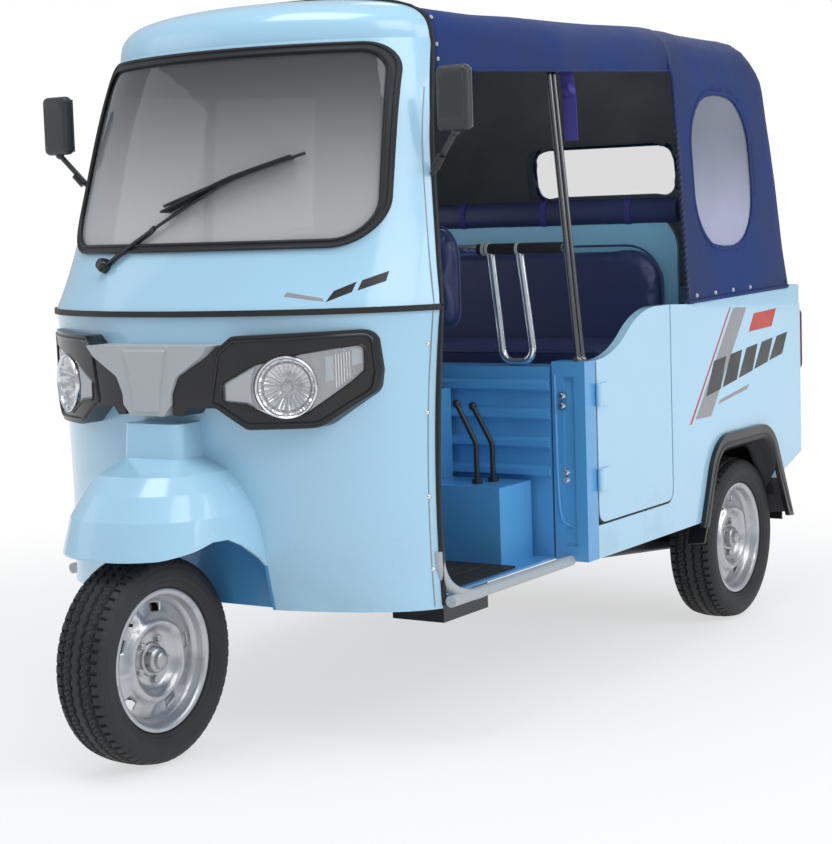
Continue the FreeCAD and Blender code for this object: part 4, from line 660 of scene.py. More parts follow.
# Name, place, what it faces, size and power of each lamp
LAMPS = (("key", (5.3, -2.6, 5.6), (0, 0, 0.9), (3.5, 3.0), 95),
         ("top", (0.0, -2.2, 6.0), (0, -0.9, 1.4), (3.0, 2.5), 108),
         ("side", (6.0, 1.0, 3.4), (0, 0.4, 0.9), (4.0, 3.0), 92),
         ("fill", (-5.0, -3.5, 3.0), (0, 0, 1.0), (4.0, 3.0), 25),
         ("back", (-1.0, 6.0, 5.0), (0, 0, 1.2), (5.0, 3.0), 70))
SKY = (0.86, 0.93, 1.0, 1.0)
SKY_STRENGTH = 0.55
WHITE = (1.0, 1.0, 1.0, 1.0)
FLOOR_SIZE = 60.0
# How far from the middle the floor starts to fade and is all white
FADE = (1.2, 3.4)


def camera():
    data = bpy.data.cameras.new("camera")
    view = bpy.data.objects.new("camera", data)
    bpy.context.collection.objects.link(view)
    data.sensor_width = SENSOR
    data.lens = FOCAL_SHARE * SENSOR
    turn = (Matrix.Rotation(CAMERA_YAW, 3, "Z") @ Matrix.Rotation(math.pi / 2 - CAMERA_PITCH, 3, "X")
            @ Matrix.Rotation(CAMERA_ROLL, 3, "Z"))
    view.matrix_world = Matrix.Translation(Vector(CAMERA_PLACE) + Vector((0, AXLE_Y, 0))) @ turn.to_4x4()
    bpy.context.scene.camera = view


def lamp(name, place, target, size, power):
    data = bpy.data.lights.new(name, "AREA")
    data.shape = "RECTANGLE"
    data.size, data.size_y = size
    data.energy = power
    light = bpy.data.objects.new(name, data)
    bpy.context.collection.objects.link(light)
    light.location = place
    light.rotation_euler = (Vector(target) - Vector(place)).to_track_quat("-Z", "Y").to_euler()


def floor_material(name):
    """A pale floor that fades to white round the object and keeps its shadow."""
    paint = Paint(name, (0.90, 0.90, 0.90), 0.95)
    path = paint.tree.nodes.new("ShaderNodeLightPath")
    glow = paint.tree.nodes.new("ShaderNodeEmission")
    glow.inputs["Strength"].default_value = 1.0
    mix = paint.tree.nodes.new("ShaderNodeMixShader")
    camera_ray, glossy_ray, clear_ray = [Signal(paint, path.outputs["Is %s Ray" % kind])
                                         for kind in ("Camera", "Glossy", "Transmission")]
    seen = paint.maths("MAXIMUM", paint.maths("MAXIMUM", camera_ray, glossy_ray), clear_ray)
    away = paint.maths("SQRT", paint.part("X") ** 2.0 + paint.part("Y") ** 2.0)
    paint.feed(mix.inputs[0], seen * paint.ramp(away, *FADE, 0.62, 1.0))
    for source, socket in ((paint.shader.outputs[0], mix.inputs[1]), (glow.outputs[0], mix.inputs[2]),
                           (mix.outputs[0], paint.tree.nodes["Material Output"].inputs["Surface"])):
        paint.tree.links.new(source, socket)
    return paint.material


def studio():
    """A soft sky that is plain white where the camera sees it, the floor and the lamps."""
    world = bpy.data.worlds.new("studio")
    bpy.context.scene.world = world
    world.use_nodes = True
    tree = world.node_tree
    soft = tree.nodes["Background"]
    white = tree.nodes.new("ShaderNodeBackground")
    for background, color, strength in ((soft, SKY, SKY_STRENGTH), (white, WHITE, 1.0)):
        background.inputs["Color"].default_value = color
        background.inputs["Strength"].default_value = strength
    path = tree.nodes.new("ShaderNodeLightPath")
    mix = tree.nodes.new("ShaderNodeMixShader")
    seen = tree.nodes.new("ShaderNodeMath")
    seen.operation = "MAXIMUM"
    seen.use_clamp = True
    for source, socket in ((path.outputs["Is Camera Ray"], seen.inputs[0]),
                           (path.outputs["Is Transmission Ray"], seen.inputs[1]),
                           (seen.outputs[0], mix.inputs[0]), (soft.outputs[0], mix.inputs[1]),
                           (white.outputs[0], mix.inputs[2]),
                           (mix.outputs[0], tree.nodes["World Output"].inputs["Surface"])):
        tree.links.new(source, socket)

    bpy.ops.mesh.primitive_plane_add(size=FLOOR_SIZE, location=(0, 0, 0))
    floor = bpy.context.object
    floor.name = "studio_floor"
    floor.data.materials.append(floor_material("floor_white"))
    for settings in LAMPS:
        lamp(*settings)
    bpy.context.scene.view_settings.view_transform = "Standard"


# Wheels

WHEEL_SIDES = 480
TREAD_HALF = 0.057
TREAD_GROOVES = (-0.039, -0.0135, 0.0135, 0.039)
GROOVE_HALF = 0.0026
GROOVE_DEPTH = 0.0075
# A lug and its gap take this many steps round the tyre, of which the gap takes some
LUG_STEPS = 8
GAP_STEPS = 1.6
LEFT_SHIFT, RIGHT_SHIFT = 2.2, -1.4
SHOULDER_RADIUS = 0.236
EDGE_RADIUS = 0.2290
# The side wall from the bead out to the shoulder: along the axle, then radius
WALL = [(0.048, 0.166), (0.053, 0.1705), (0.059, 0.1725), (0.0625, 0.177), (0.0635, 0.1795), (0.0655, 0.181),
        (0.0672, 0.1855), (0.0668, 0.1875), (0.0695, 0.194), (0.0708, 0.1985), (0.0705, 0.2005), (0.0716, 0.2065),
        (0.0718, 0.2125), (0.0705, 0.2185), (0.0698, 0.2195), (0.0698, 0.2225), (0.0684, 0.2268), (0.0665, 0.2305),
        (0.0642, 0.2338), (0.0615, 0.2366)]
CROWN_RADIUS = 0.2465
CROWN_DROP = 0.0068
CROWN_COLUMNS = 54


def in_gap(across, step):
    return (step + (LEFT_SHIFT if across > 0 else RIGHT_SHIFT)) % LUG_STEPS < GAP_STEPS


def tread_cut(across, step):
    """How deep the pattern is cut at a place on the tread."""
    swing = GROOVE_HALF * math.sin(2 * math.pi * step / LUG_STEPS)
    deepest = 0.0
    for groove in TREAD_GROOVES:
        reach = abs(across - groove - swing)
        deepest = max(deepest, min(1.0, max(0.0, (GROOVE_HALF * 1.7 - reach) / (GROOVE_HALF * 0.9))))
    if abs(across) > TREAD_GROOVES[-1] + 0.003 and in_gap(across, step):
        deepest = max(deepest, 0.85)
    if 0.018 < abs(across) < 0.035 and (step + across * 140.0) % (LUG_STEPS / 2) < 0.8:
        deepest = max(deepest, 0.4)
    return GROOVE_DEPTH * deepest


def tyre(node):
    """A road tyre: zigzag grooves, cut shoulders, rings on the walls."""
    crown = []
    for index in range(CROWN_COLUMNS + 1):
        across = TREAD_HALF * (2 * index / CROWN_COLUMNS - 1)
        crown.append((across, CROWN_RADIUS - CROWN_DROP * abs(across / TREAD_HALF) ** 2.6))
    profile = [(-along, radius) for along, radius in WALL] + crown + WALL[::-1] + [(0.0, 0.163)]

    def cut(along, radius, angle):
        step = WHEEL_SIDES / (2 * math.pi) * angle
        if abs(along) <= TREAD_HALF + 0.0001 and radius > SHOULDER_RADIUS:
            radius -= tread_cut(along, step)
        elif radius > EDGE_RADIUS and in_gap(along, step):
            along -= math.copysign(0.0022, along)
        return along, radius

    made = turned(node + "_tread", profile, Box(node).middle, "tyre", wheel_body(node), sides=WHEEL_SIDES, cut=30,
                  shape=cut)
    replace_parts(made, node)


def wheel_body(node):
    return next(name for name, parts in frame["record"]["behaviour"]["bodies"].items() if node in parts)


# The pressed wheel's parts: outwards along the axle, then radius; the disc goes from its outer edge to the hub
DISC = [(0.014, 0.1440), (0.016, 0.1400), (0.0175, 0.1365), (0.0185, 0.1330), (0.0195, 0.1270), (0.0205, 0.1200),
        (0.0220, 0.1130), (0.0250, 0.1070), (0.0310, 0.1015), (0.0375, 0.0965), (0.0405, 0.0915), (0.0410, 0.0865),
        (0.0385, 0.0815), (0.0320, 0.0765), (0.0250, 0.0715), (0.0205, 0.0660), (0.0185, 0.0600), (0.0180, 0.0520),
        (0.0180, 0.0440), (0.0185, 0.0380)]
RIM_BARREL = [(0.0545, 0.1560), (0.0560, 0.1640), (0.0555, 0.1675), (0.0530, 0.1690), (0.0505, 0.1680),
              (0.0500, 0.1640), (0.0490, 0.1580), (0.0460, 0.1545), (0.0300, 0.1530), (0.0265, 0.1500),
              (0.0235, 0.1440), (0.0150, 0.1425),
              (-0.0150, 0.1430), (-0.0240, 0.1500), (-0.0460, 0.1545), (-0.0500, 0.1640), (-0.0530, 0.1690),
              (-0.0560, 0.1640), (-0.0540, 0.1530), (-0.0270, 0.1480), (-0.0160, 0.1400), (0.0160, 0.1395),
              (0.0255, 0.1410), (0.0300, 0.1470), (0.0345, 0.1505), (0.0490, 0.1520)]
HUB = [(0.012, 0.040), (0.0225, 0.0395), (0.0240, 0.0360), (0.0245, 0.0320), (0.0400, 0.0300), (0.0430, 0.0270),
       (0.0440, 0.0215), (0.0520, 0.0190), (0.0545, 0.0150), (0.0550, 0.0)]
DRUM = [(-0.0450, 0.0), (-0.0450, 0.0900), (-0.0400, 0.0960), (-0.0360, 0.1010), (-0.0300, 0.1010),
        (-0.0280, 0.0980), (0.0060, 0.0960), (0.0120, 0.0900), (0.0130, 0.0)]
WINDOWS = 5
DISC_SIDES = 160
SHEET_STEEL = 0.0035
NUT_CIRCLE, NUT_SEAT, NUT_TURN = 0.0505, 0.0185, 0.3


def rim(node, outward):
    """A silver pressed steel wheel: barrel, dished disc with windows, hub, nuts and valve."""
    body = wheel_body(node)
    middle = Box(node.replace("rim", "tyre")).middle
    axis = Vector((outward, 0, 0))
    barrel = turned(node + "_barrel", RIM_BARREL + RIM_BARREL[:1], middle, "rim", body, axis, sides=128, cut=50)
    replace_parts(barrel, node)
    span = DISC_SIDES // WINDOWS

    def press(along, radius, angle):
        if 0.078 < radius < 0.131:
            wave = 0.5 + 0.5 * math.cos(WINDOWS * angle)
            along += 0.0055 * wave * math.sin(math.pi * (radius - 0.078) / 0.053)
        if 0.100 < radius < 0.1375:
            along += 0.0035 * max(0.0, math.cos(WINDOWS * angle)) ** 8
        return along, radius

    def window(step, band):
        return abs(step % span - span // 2) <= 3 and 3 <= band <= 5

    disc = turned(node + "_disc", DISC, middle, "rim", body, axis, sides=DISC_SIDES, cut=60, shape=press, skip=window)
    thick = disc.modifiers.new("sheet", "SOLIDIFY")
    thick.thickness = SHEET_STEEL
    thick.offset = -1
    turned(node + "_hub", HUB, middle, "steel", body, axis, sides=48)
    turned(node + "_drum", DRUM, middle, "iron", body, axis, sides=72)
    ways = ways_across(axis)
    nuts = [(middle + axis * NUT_SEAT + round_way(ways, 2 * math.pi * index / WINDOWS + NUT_TURN) * NUT_CIRCLE, axis)
            for index in range(WINDOWS)]
    bolts(node + "_nuts", nuts, 0.0085, body=body, head="hex")
    foot = middle + axis * 0.026 + ways[1] * 0.1490
    stem = [foot, foot + axis * 0.012 - ways[1] * 0.004, foot + axis * 0.026 - ways[1] * 0.006]
    swept(node + "_valve", stem, ring(0.0042), "rubber", body)


def wheels():
    for side, name in (("", "front"), ("_left", "rear"), ("_right", "rear")):
        tyre("%s_tyre%s" % (name, side))
        rim("%s_rim%s" % (name, side), -1 if side == "_right" else 1)


# Canopy

CLOTH = 0.0022
# The pattern lies this far out from the solid's face, and its ends this far in from the solid's
CLOTH_LIFT = CLOTH * 0.3
CLOTH_INSET = 0.0015
# The roof's corners bend about lines at this height and half width
ROOF_BEND, ROOF_HALF = 1.665, 0.36
ROOF_LENGTHS = 56
# Heights between which the tail's side turns into its roof
TAIL_TURN = (1.60, 1.72)
POST_BOX = Box("canopy_posts")
BOWS = (at(0, 585, 0).y, POST_BOX.middle.y, Box("canopy_rear").low.y, Box("canopy_rear").high.y)
# How far outside a ray starts, more than from any anchor to the cloth
RAY_OUT = 0.9


def ray_out(skin, anchor, way):
    """Where a skin's outer face lies beyond an anchor, looking back from outside."""
    way = Vector(way).normalized()
    return skin.hit(Vector(anchor) + way * RAY_OUT, -way)[0], way


def slack(place, way):
    """How far the cloth lies off its pattern: sag between the bows and small folds."""
    depth = 0.0
    for start, end in zip(BOWS, BOWS[1:]):
        if start < place.y < end:
            share = (place.y - start) / (end - start)
            depth += 0.010 * math.sin(math.pi * share) ** 2 * max(0.0, way.z) ** 2
    fold = noise.noise(Vector((place.x * 2.4, place.y * 3.1, place.z * 4.6)))
    crease = noise.noise(Vector((place.x * 9.0, place.y * 6.0, place.z * 11.0)) + Vector((7.1, 3.3, 0.4)))
    return -depth + 0.0022 * fold + 0.0009 * crease


def arch_ways(steps_up, steps_round, steps_over, foot):
    """Anchors (x, z) and ways round the roof's arch, from the left foot over the roof to the right foot."""
    half, bend = ROOF_HALF, ROOF_BEND
    left = [((half, foot + (bend - foot) * step / steps_up), (1, 0)) for step in range(steps_up)]
    left += [((half, bend), (math.cos(angle), math.sin(angle)))
             for angle in [math.pi / 2 * step / steps_round for step in range(steps_round)]]
    over = [((half - 2 * half * step / steps_over, bend), (0, 1)) for step in range(steps_over + 1)]
    right = [((-x, z), (-way_x, way_z)) for (x, z), (way_x, way_z) in left[::-1]]
    return left + over + right


def canopy_front():
    """The roof sheet from the cab back to the tail, with valances over the openings."""
    skin = Skin("canopy_front")
    box = Box("canopy_front")
    foot_marks = [(at(0, 585, 0).y, at(0, 0, 1602).z), (POST_BOX.middle.y, at(0, 0, 1616).z),
                  (box.high.y, at(0, 0, 1643).z)]
    rows = []
    for index in range(ROOF_LENGTHS + 1):
        y = box.low.y + CLOTH_INSET + (box.size.y - 2 * CLOTH_INSET) * index / ROOF_LENGTHS
        edge = min(index, ROOF_LENGTHS - index, 4) / 4
        row = []
        for (x, z), (way_x, way_z) in arch_ways(8, 12, 36, level_at(foot_marks, y) + CLOTH_INSET):
            spot, way = ray_out(skin, (x, y, z), (way_x, 0, way_z))
            row.append(spot + way * (CLOTH_LIFT + slack(spot, way) * edge))
        rows.append(row)
    places = [place for row in rows for place in row]
    sheet = piece("canopy_roof", places, grid_faces(len(rows), len(rows[0])), "canvas")
    finish_sheet(sheet, "canopy_front")
    sheet_size(rows)
    for label, edge in (("left", 0), ("right", -1)):
        swept("canopy_roof_hem_" + label, [row[edge] for row in rows], ring(0.0045, 10), "canvas")
    swept("canopy_roof_welt", rows[0][2:-2], ring(0.0035, 8), "rubber")


def level_at(marks, y):
    """A level read off a broken line of (y, level) marks."""
    for (start, low), (end, high) in zip(marks, marks[1:]):
        if y <= end:
            return low + (high - low) * max(0.0, (y - start) / (end - start))
    return marks[-1][1]


def sheet_size(rows):
    """The flat width and length of a net of points."""
    middle, centre = len(rows) // 2, len(rows[0]) // 2
    across = sum((b - a).length for a, b in zip(rows[middle], rows[middle][1:]))
    along = sum((b[centre] - a[centre]).length for a, b in zip(rows, rows[1:]))
    return (round(across, 3), round(along, 3))


def finish_sheet(made, node):
    """Turn a sheet's faces outwards, line it, give it the cloth's thickness and let it stand for its node."""
    made.data.materials.append(FINISH["lining"][0])
    centre = sum((vertex.co for vertex in made.data.vertices), Vector()) / len(made.data.vertices)
    facing = sum(1 if face.normal.dot(face.center - centre) > 0 else -1 for face in made.data.polygons)
    if facing < 0:
        made.data.flip_normals()
    thick = made.modifiers.new("cloth", "SOLIDIFY")
    thick.thickness = CLOTH
    thick.offset = -1
    thick.material_offset = 1
    thick.material_offset_rim = 0
    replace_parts(made, node)


TAIL_BOX = Box("canopy_rear")
# The tail's corners bend about lines at this half width, this far back and this high
TAIL_X = 0.40
TAIL_Y = TAIL_BOX.high.y - 0.36
TAIL_BEND = 1.50
# The tail's roof is lower than its solid, and its front runs on under the roof sheet
TAIL_DROP = 0.026
TAIL_TUCK = 0.024
TUCK_UNDER = 0.008
# The roof's height over the tail is read this far ahead of the tail's solid
ROOF_END = 0.004
# The levels of the tail's hem, in front and behind
TAIL_FOOT = (990, 1004)
# Steps along the side, round the corner and across the back, then up the side and round into the roof
TAIL_SIDE, TAIL_CORNER, TAIL_BACK, TAIL_UP, TAIL_ROUND = 34, 12, 40, 34, 12


def smooth_step(low, high, value):
    share = min(1.0, max(0.0, (value - low) / (high - low)))
    return share * share * (3 - 2 * share)


def tail_foot(y):
    """The level of the body's edge that the tail's hem lies on."""
    front, back = [at(0, 0, level).z for level in TAIL_FOOT]
    return front + (back - front) * min(1.0, max(0.0, (y - TAIL_BOX.low.y) / TAIL_BOX.size.y))


def tail_spot(anchor, way, skin, roof):
    """Where the tail's cloth lies beyond an anchor."""
    low_y = TAIL_BOX.low.y - TAIL_TUCK
    true_y = anchor[1]
    anchor = Vector((anchor[0], max(true_y, TAIL_BOX.low.y + CLOTH_INSET), anchor[2]))
    spot, way = ray_out(skin, anchor, way)
    spot.y += true_y - anchor.y
    high = smooth_step(*TAIL_TURN, spot.z)
    spot.z -= TAIL_DROP * high * smooth_step(0.0, 0.25, spot.y - low_y)
    level_way = Vector((way.x, 0, way.z))
    over = roof.hit(Vector((anchor.x, TAIL_BOX.low.y - ROOF_END, anchor.z)) + level_way * RAY_OUT, -level_way)[0]
    if over is not None and way.y < 0.2:
        tucked = Vector((over.x, spot.y, over.z)) - way * TUCK_UNDER
        spot = spot.lerp(tucked, high * (1 - smooth_step(0.0, 0.34, spot.y - low_y)))
    return spot + way * (CLOTH_LIFT + slack(spot, way) * min(1.0, (spot.y - low_y) / 0.06))


def canopy_tail():
    """The closed rear: sides, back and roof in one shaped sheet with an egg window each side."""
    skin, roof = Skin("canopy_rear", "canopy_windows"), Skin("canopy_front")
    low_y = TAIL_BOX.low.y - TAIL_TUCK
    side_steps = [low_y + (TAIL_Y - low_y) * step / TAIL_SIDE for step in range(TAIL_SIDE + 1)]
    back_steps = [TAIL_X - 2 * TAIL_X * step / TAIL_BACK for step in range(TAIL_BACK + 1)]
    plan = [((TAIL_X, y), 0.0) for y in side_steps[:-1]]
    plan += [((TAIL_X, TAIL_Y), math.pi / 2 * step / TAIL_CORNER) for step in range(TAIL_CORNER)]
    plan += [((x, TAIL_Y), math.pi / 2) for x in back_steps]
    plan += [((-x, y), math.pi - angle) for (x, y), angle in plan[:TAIL_SIDE + TAIL_CORNER][::-1]]
    top = TAIL_UP + TAIL_ROUND
    places = []
    for (x, y), angle in plan:
        foot = tail_foot(y + 0.3 * math.sin(angle)) + CLOTH_INSET
        for level in range(top + 1):
            lift = math.pi / 2 * max(0, level - TAIL_UP) / TAIL_ROUND
            z = foot + (TAIL_BEND - foot) * min(1.0, level / TAIL_UP)
            way = (math.cos(angle) * math.cos(lift), math.sin(angle) * math.cos(lift), math.sin(lift))
            places.append(tail_spot((x, y, z), way, skin, roof))
    columns = [range(column * (top + 1), (column + 1) * (top + 1)) for column in range(len(plan))]
    faces = [[first[level], second[level], second[level + 1], first[level + 1]]
             for first, second in zip(columns, columns[1:]) for level in range(top)]
    cover = []
    for row, y in enumerate(side_steps):
        if row < TAIL_SIDE:
            inner = range(len(places), len(places) + TAIL_BACK - 1)
            places += [tail_spot((x, y, TAIL_BEND), UP, skin, roof) for x in back_steps[1:-1]]
        else:
            inner = [column[top] for column in columns[TAIL_SIDE + TAIL_CORNER + 1:-TAIL_SIDE - TAIL_CORNER - 1]]
        cover.append([columns[row][top], *inner, columns[-1 - row][top]])
    faces += [[first[step], second[step], second[step + 1], first[step + 1]]
              for first, second in zip(cover, cover[1:]) for step in range(TAIL_BACK)]
    kept = []
    for face in faces:
        middle = sum((places[index] for index in face), Vector()) / 4
        if not in_egg(middle) and not in_back_window(middle):
            kept.append(face)
    made = piece("canopy_tail", places, kept, "canvas")
    snap_to_windows(made)
    finish_sheet(made, "canopy_rear")
    foot_edge = [places[column[0]] for column in columns]
    front_edge = [places[index] for index in (*columns[0], *cover[0][1:-1], *reversed(columns[-1]))]
    swept("canopy_tail_hem", foot_edge, ring(0.005, 10), "canvas")
    swept("canopy_tail_welt", front_edge, ring(0.0055, 10), "canvas")
    window_welts(Skin("canopy_rear"), skin)
    canopy_fasteners(foot_edge, front_edge)


EGG_MIDDLE = at(0, 1953, 1364)
EGG_HALF_LENGTH, EGG_HALF_HEIGHT, EGG_CORNER = 0.208, 0.221, 0.160
BACK_HALF, BACK_LEVEL, BACK_HALF_HEIGHT = 0.255, 1.384, 0.082
# The sides lie beyond this half width, and the back behind this place
SIDE_X = 0.5
BACK_Y = TAIL_Y + 0.1


def egg_outline(grow, steps=14):
    """The side window's outline, as places on the middle plane."""
    length, height = EGG_HALF_LENGTH + grow, EGG_HALF_HEIGHT + grow
    return [Vector((0, EGG_MIDDLE.y + spot[0], EGG_MIDDLE.z + spot[1]))
            for spot in rounded_corners(rectangle((-length, -height), (length, height)), EGG_CORNER + grow, steps)]


def back_outline(grow, steps=10):
    """The back window's outline, as places over the front axle."""
    half, height = BACK_HALF + grow, BACK_HALF_HEIGHT + grow
    spots = rounded_corners(rectangle((-half, -height), (half, height)), BACK_HALF_HEIGHT / 2 + grow, steps)
    return [Vector((spot[0], 0, BACK_LEVEL + spot[1])) for spot in spots]


def inside(outline, first, second):
    """Whether a place lies inside a flat outline."""
    hit = False
    count = len(outline)
    for index in range(count):
        a, b = outline[index - 1], outline[index]
        if (a[1] > second) != (b[1] > second) and first < (b[0] - a[0]) * (second - a[1]) / (b[1] - a[1]) + a[0]:
            hit = not hit
    return hit


SNAP_REACH = 0.03
LACE_STEP, LACE_PITCH, LACE_REACH = 0.003, 0.034, 0.0055
EGG_FLAT = [(place.y, place.z) for place in egg_outline(-0.002)]
BACK_FLAT = [(place.x, place.z) for place in back_outline(-0.002)]


def in_egg(place):
    return abs(place.x) > SIDE_X and inside(EGG_FLAT, place.y, place.z)


def in_back_window(place):
    return place.y > BACK_Y and abs(place.x) < TAIL_X and inside(BACK_FLAT, place.x, place.z)


def snap(place, outline, first):
    """Move a place onto an outline that is near it, seen along one axis."""
    nearest = min(outline, key=lambda spot: math.hypot(spot[first] - place[first], spot.z - place.z))
    if math.hypot(nearest[first] - place[first], nearest.z - place.z) < SNAP_REACH:
        place[first], place.z = nearest[first], nearest.z


def snap_to_windows(made):
    """Lay the raw edges of the window openings on their smooth outlines."""
    egg, back = egg_outline(-0.004, 40), back_outline(-0.004, 40)
    net = bmesh.new()
    net.from_mesh(made.data)
    for vertex in net.verts:
        if vertex.is_boundary and abs(vertex.co.x) > SIDE_X:
            snap(vertex.co, egg, 1)
        elif vertex.is_boundary and vertex.co.y > BACK_Y:
            snap(vertex.co, back, 0)
    net.to_mesh(made.data)
    net.free()


def window_welts(side_skin, back_skin):
    """A sewn binding round each window."""
    welts = [(name, side_skin, [(0.3 * side, place.y, place.z) for place in egg_outline(0.005, 12)], (side, 0, 0))
             for side, name in SIDES]
    welts.append(("back", back_skin, [(place.x, TAIL_Y, place.z) for place in back_outline(0.005)], BACK))
    for label, skin, anchors, out in welts:
        route = []
        for anchor in anchors:
            spot, way = ray_out(skin, anchor, out)
            route.append(spot + way * 0.001)
        swept("window_welt_" + label, route, [(x * 2.2, y) for x, y in ring(0.0028, 8)], "canvas", closed=True, up=out)


def canopy_fasteners(foot_edge, front_edge):
    """Snaps along the tail's hem and the roof's front edge, and the laced binding of the tail's front edge."""
    snaps = []
    for place in foot_edge[4:-4:9]:
        out = Vector((place.x, max(0.0, place.y - TAIL_Y) * 2.0, 0)).normalized()
        snaps.append((place + Vector((0, 0, 0.016)) + out * 0.001, out))
    bolts("tail_snaps", snaps, 0.0065, "white")
    skin = Skin("canopy_front")
    studs = []
    for (x, z), (way_x, way_z) in arch_ways(1, 3, 12, 1.63):
        spot, way = ray_out(skin, (x, at(0, 597, 0).y, z), (way_x, 0, way_z))
        studs.append((spot + way * 0.003, way))
    bolts("roof_studs", studs, 0.0055, "white")
    for label, run in (("left", front_edge[:34]), ("right", front_edge[-34:])):
        line = divided(run, LACE_STEP)
        strands = []
        for start in (0.0, math.pi):
            turns = [index * LACE_STEP / LACE_PITCH * 2 * math.pi + start for index in range(len(line))]
            strands.append([place + Vector((math.cos(turn) * LACE_REACH, math.sin(turn) * LACE_REACH - 0.001, 0))
                            for place, turn in zip(line, turns)])
        swept_row("tail_lacing_" + label, strands, ring(0.0026, 6), "grey")


def canopy_bows():
    """The steel hoops that hold the roof up."""
    front, tail = Skin("canopy_front"), Skin("canopy_rear")
    for index, (skin, y, drop) in enumerate(((front, BOWS[1], 0.0), (front, BOWS[2] - 0.03, 0.0),
                                             (tail, BOWS[2] + 0.42, TAIL_DROP))):
        route = []
        for (x, z), (way_x, way_z) in arch_ways(3, 10, 10, 1.66):
            spot, way = ray_out(skin, (x, y, z), (way_x, 0, way_z))
            spot = spot - way * 0.026
            spot.z -= drop * smooth_step(*TAIL_TURN, spot.z)
            route.append(spot)
        swept("roof_bow_%d" % index, route, ring(0.009, 10), "iron")


# Seats

# Of each pad: how full it is, its corner radii with the low or front ones first, and where its channels are sunk
PADS = {"driver_cushion": (0.8, (0.05, 0.05, 0.03, 0.03), ()),
        "driver_backrest": (0.75, (0.05, 0.05, 0.085, 0.085), ()),
        "passenger_cushion": (0.8, (0.06, 0.06, 0.03, 0.03), (-1 / 6, 1 / 6)),
        "passenger_backrest": (0.75, (0.03, 0.03, 0.115, 0.115), ())}
# A pad starts this much smaller than its space, and its cover moves this much at most
PAD_ROOM, PAD_SWELL = 0.012, 0.016
# The rounding of a pad's long edges, and its first rings as shares of the rounding and of the thickness
PAD_EDGE = 0.03
PAD_RINGS = ((0.8, -0.5), (0.25, -0.46), (0.0, -0.28), (0.0, 0.28), (0.25, 0.46), (0.8, 0.5))
PAD_CORNER_STEPS = 8
PRESSURE, PRESSED_FRAMES = 4.0, 15
# How deep and wide a channel is
CHANNEL = 0.006
PIPING_INSET, PIPING_LEVEL = 0.004, 0.24


def pad_axes(box):
    """The axis across a pad's thickness, and the two of its face."""
    thin = min(range(3), key=lambda axis: box.size[axis])
    return thin, [axis for axis in range(3) if axis != thin]


def pad_start(node, box, corners):
    """A pad before it is blown up: rings of points round its thickness, closed at both faces."""
    thin, (first, second) = pad_axes(box)
    size = box.size - Vector((PAD_ROOM, PAD_ROOM, PAD_ROOM))
    a, b = size[first] / 2, size[second] / 2
    outline = rounded_corners(rectangle((-a, -b), (a, b)), corners, PAD_CORNER_STEPS)
    places = []
    for inset, depth in PAD_RINGS:
        for spot in outline:
            place = box.middle.copy()
            place[first] += spot[0] * (1 - PAD_EDGE * inset / a)
            place[second] += spot[1] * (1 - PAD_EDGE * inset / b)
            place[thin] += size[thin] * depth
            places.append(place)
    rows, columns = len(PAD_RINGS), len(outline)
    faces = grid_faces(rows, columns, close_columns=True) + end_caps(rows, columns)
    return piece(node + "_cushion", places, faces, "vinyl")


def blow_up(made):
    """Press a pad's cover outwards with a cloth simulation, and keep the result."""
    cloth = made.modifiers.new("blow", "CLOTH")
    cloth.settings.use_pressure = True
    cloth.settings.uniform_pressure_force = PRESSURE
    cloth.settings.effector_weights.gravity = 0.0
    cloth.settings.quality = 4
    cloth.collision_settings.use_collision = False
    for step in range(1, PRESSED_FRAMES + 1):
        bpy.context.scene.frame_set(step)
    apply_all(made)
    bpy.context.scene.frame_set(1)


def stuffed(node):
    """A cushion that fills its node's space, blown up and sunk along its channels."""
    fill, corners, channels = PADS[node]
    box = Box(node)
    thin = pad_axes(box)[0]
    made = pad_start(node, box, corners)
    net = made.modifiers.new("net", "REMESH")
    net.mode = "VOXEL"
    net.voxel_size = 0.008
    apply_all(made)
    rest = [vertex.co.copy() for vertex in made.data.vertices]
    blow_up(made)
    for vertex, place in zip(made.data.vertices, rest):
        move = vertex.co - place
        if move.length > PAD_SWELL:
            move = move.normalized() * PAD_SWELL
        spot = place + move
        for axis in range(3):
            spot[axis] = min(box.high[axis], max(box.low[axis], spot[axis]))
        for share in channels:
            gap = abs(spot.x - (box.middle.x + box.size.x * share))
            if gap < CHANNEL * 2.5:
                spot[thin] -= math.copysign(CHANNEL * math.exp(-(gap / CHANNEL) ** 2), spot[thin] - box.middle[thin])
        vertex.co = spot
    smooth = made.modifiers.new("smooth", "SUBSURF")
    smooth.levels = smooth.render_levels = 1
    apply_all(made)
    made.data.materials.clear()
    made.data.materials.append(FINISH["vinyl"][0])
    made.data.shade_smooth()
    return made


def apply_all(made):
    """Turn an object's modifiers into its mesh."""
    graph = bpy.context.evaluated_depsgraph_get()
    mesh = bpy.data.meshes.new_from_object(made.evaluated_get(graph))
    made.modifiers.clear()
    made.data = mesh


def piping(node):
    """A welt round the face of a cushion: the top of a seat, the front of a back."""
    box = Box(node)
    thin, (first, second) = pad_axes(box)
    a, b = box.size[first] / 2 - PIPING_INSET, box.size[second] / 2 - PIPING_INSET
    inwards = PIPING_LEVEL * box.size[thin]
    route = []
    for spot in rounded_corners(rectangle((-a, -b), (a, b)), PADS[node][1], PAD_CORNER_STEPS):
        place = box.middle.copy()
        place[first] += spot[0]
        place[second] += spot[1]
        place[thin] = box.high.z - inwards if thin == 2 else box.low[thin] + inwards
        route.append(place)
    swept(node + "_piping", route, ring(0.0035, 8), "vinyl", closed=True)


def seats():
    for node in PADS:
        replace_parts(stuffed(node), node)
        piping(node)


# Front dressing

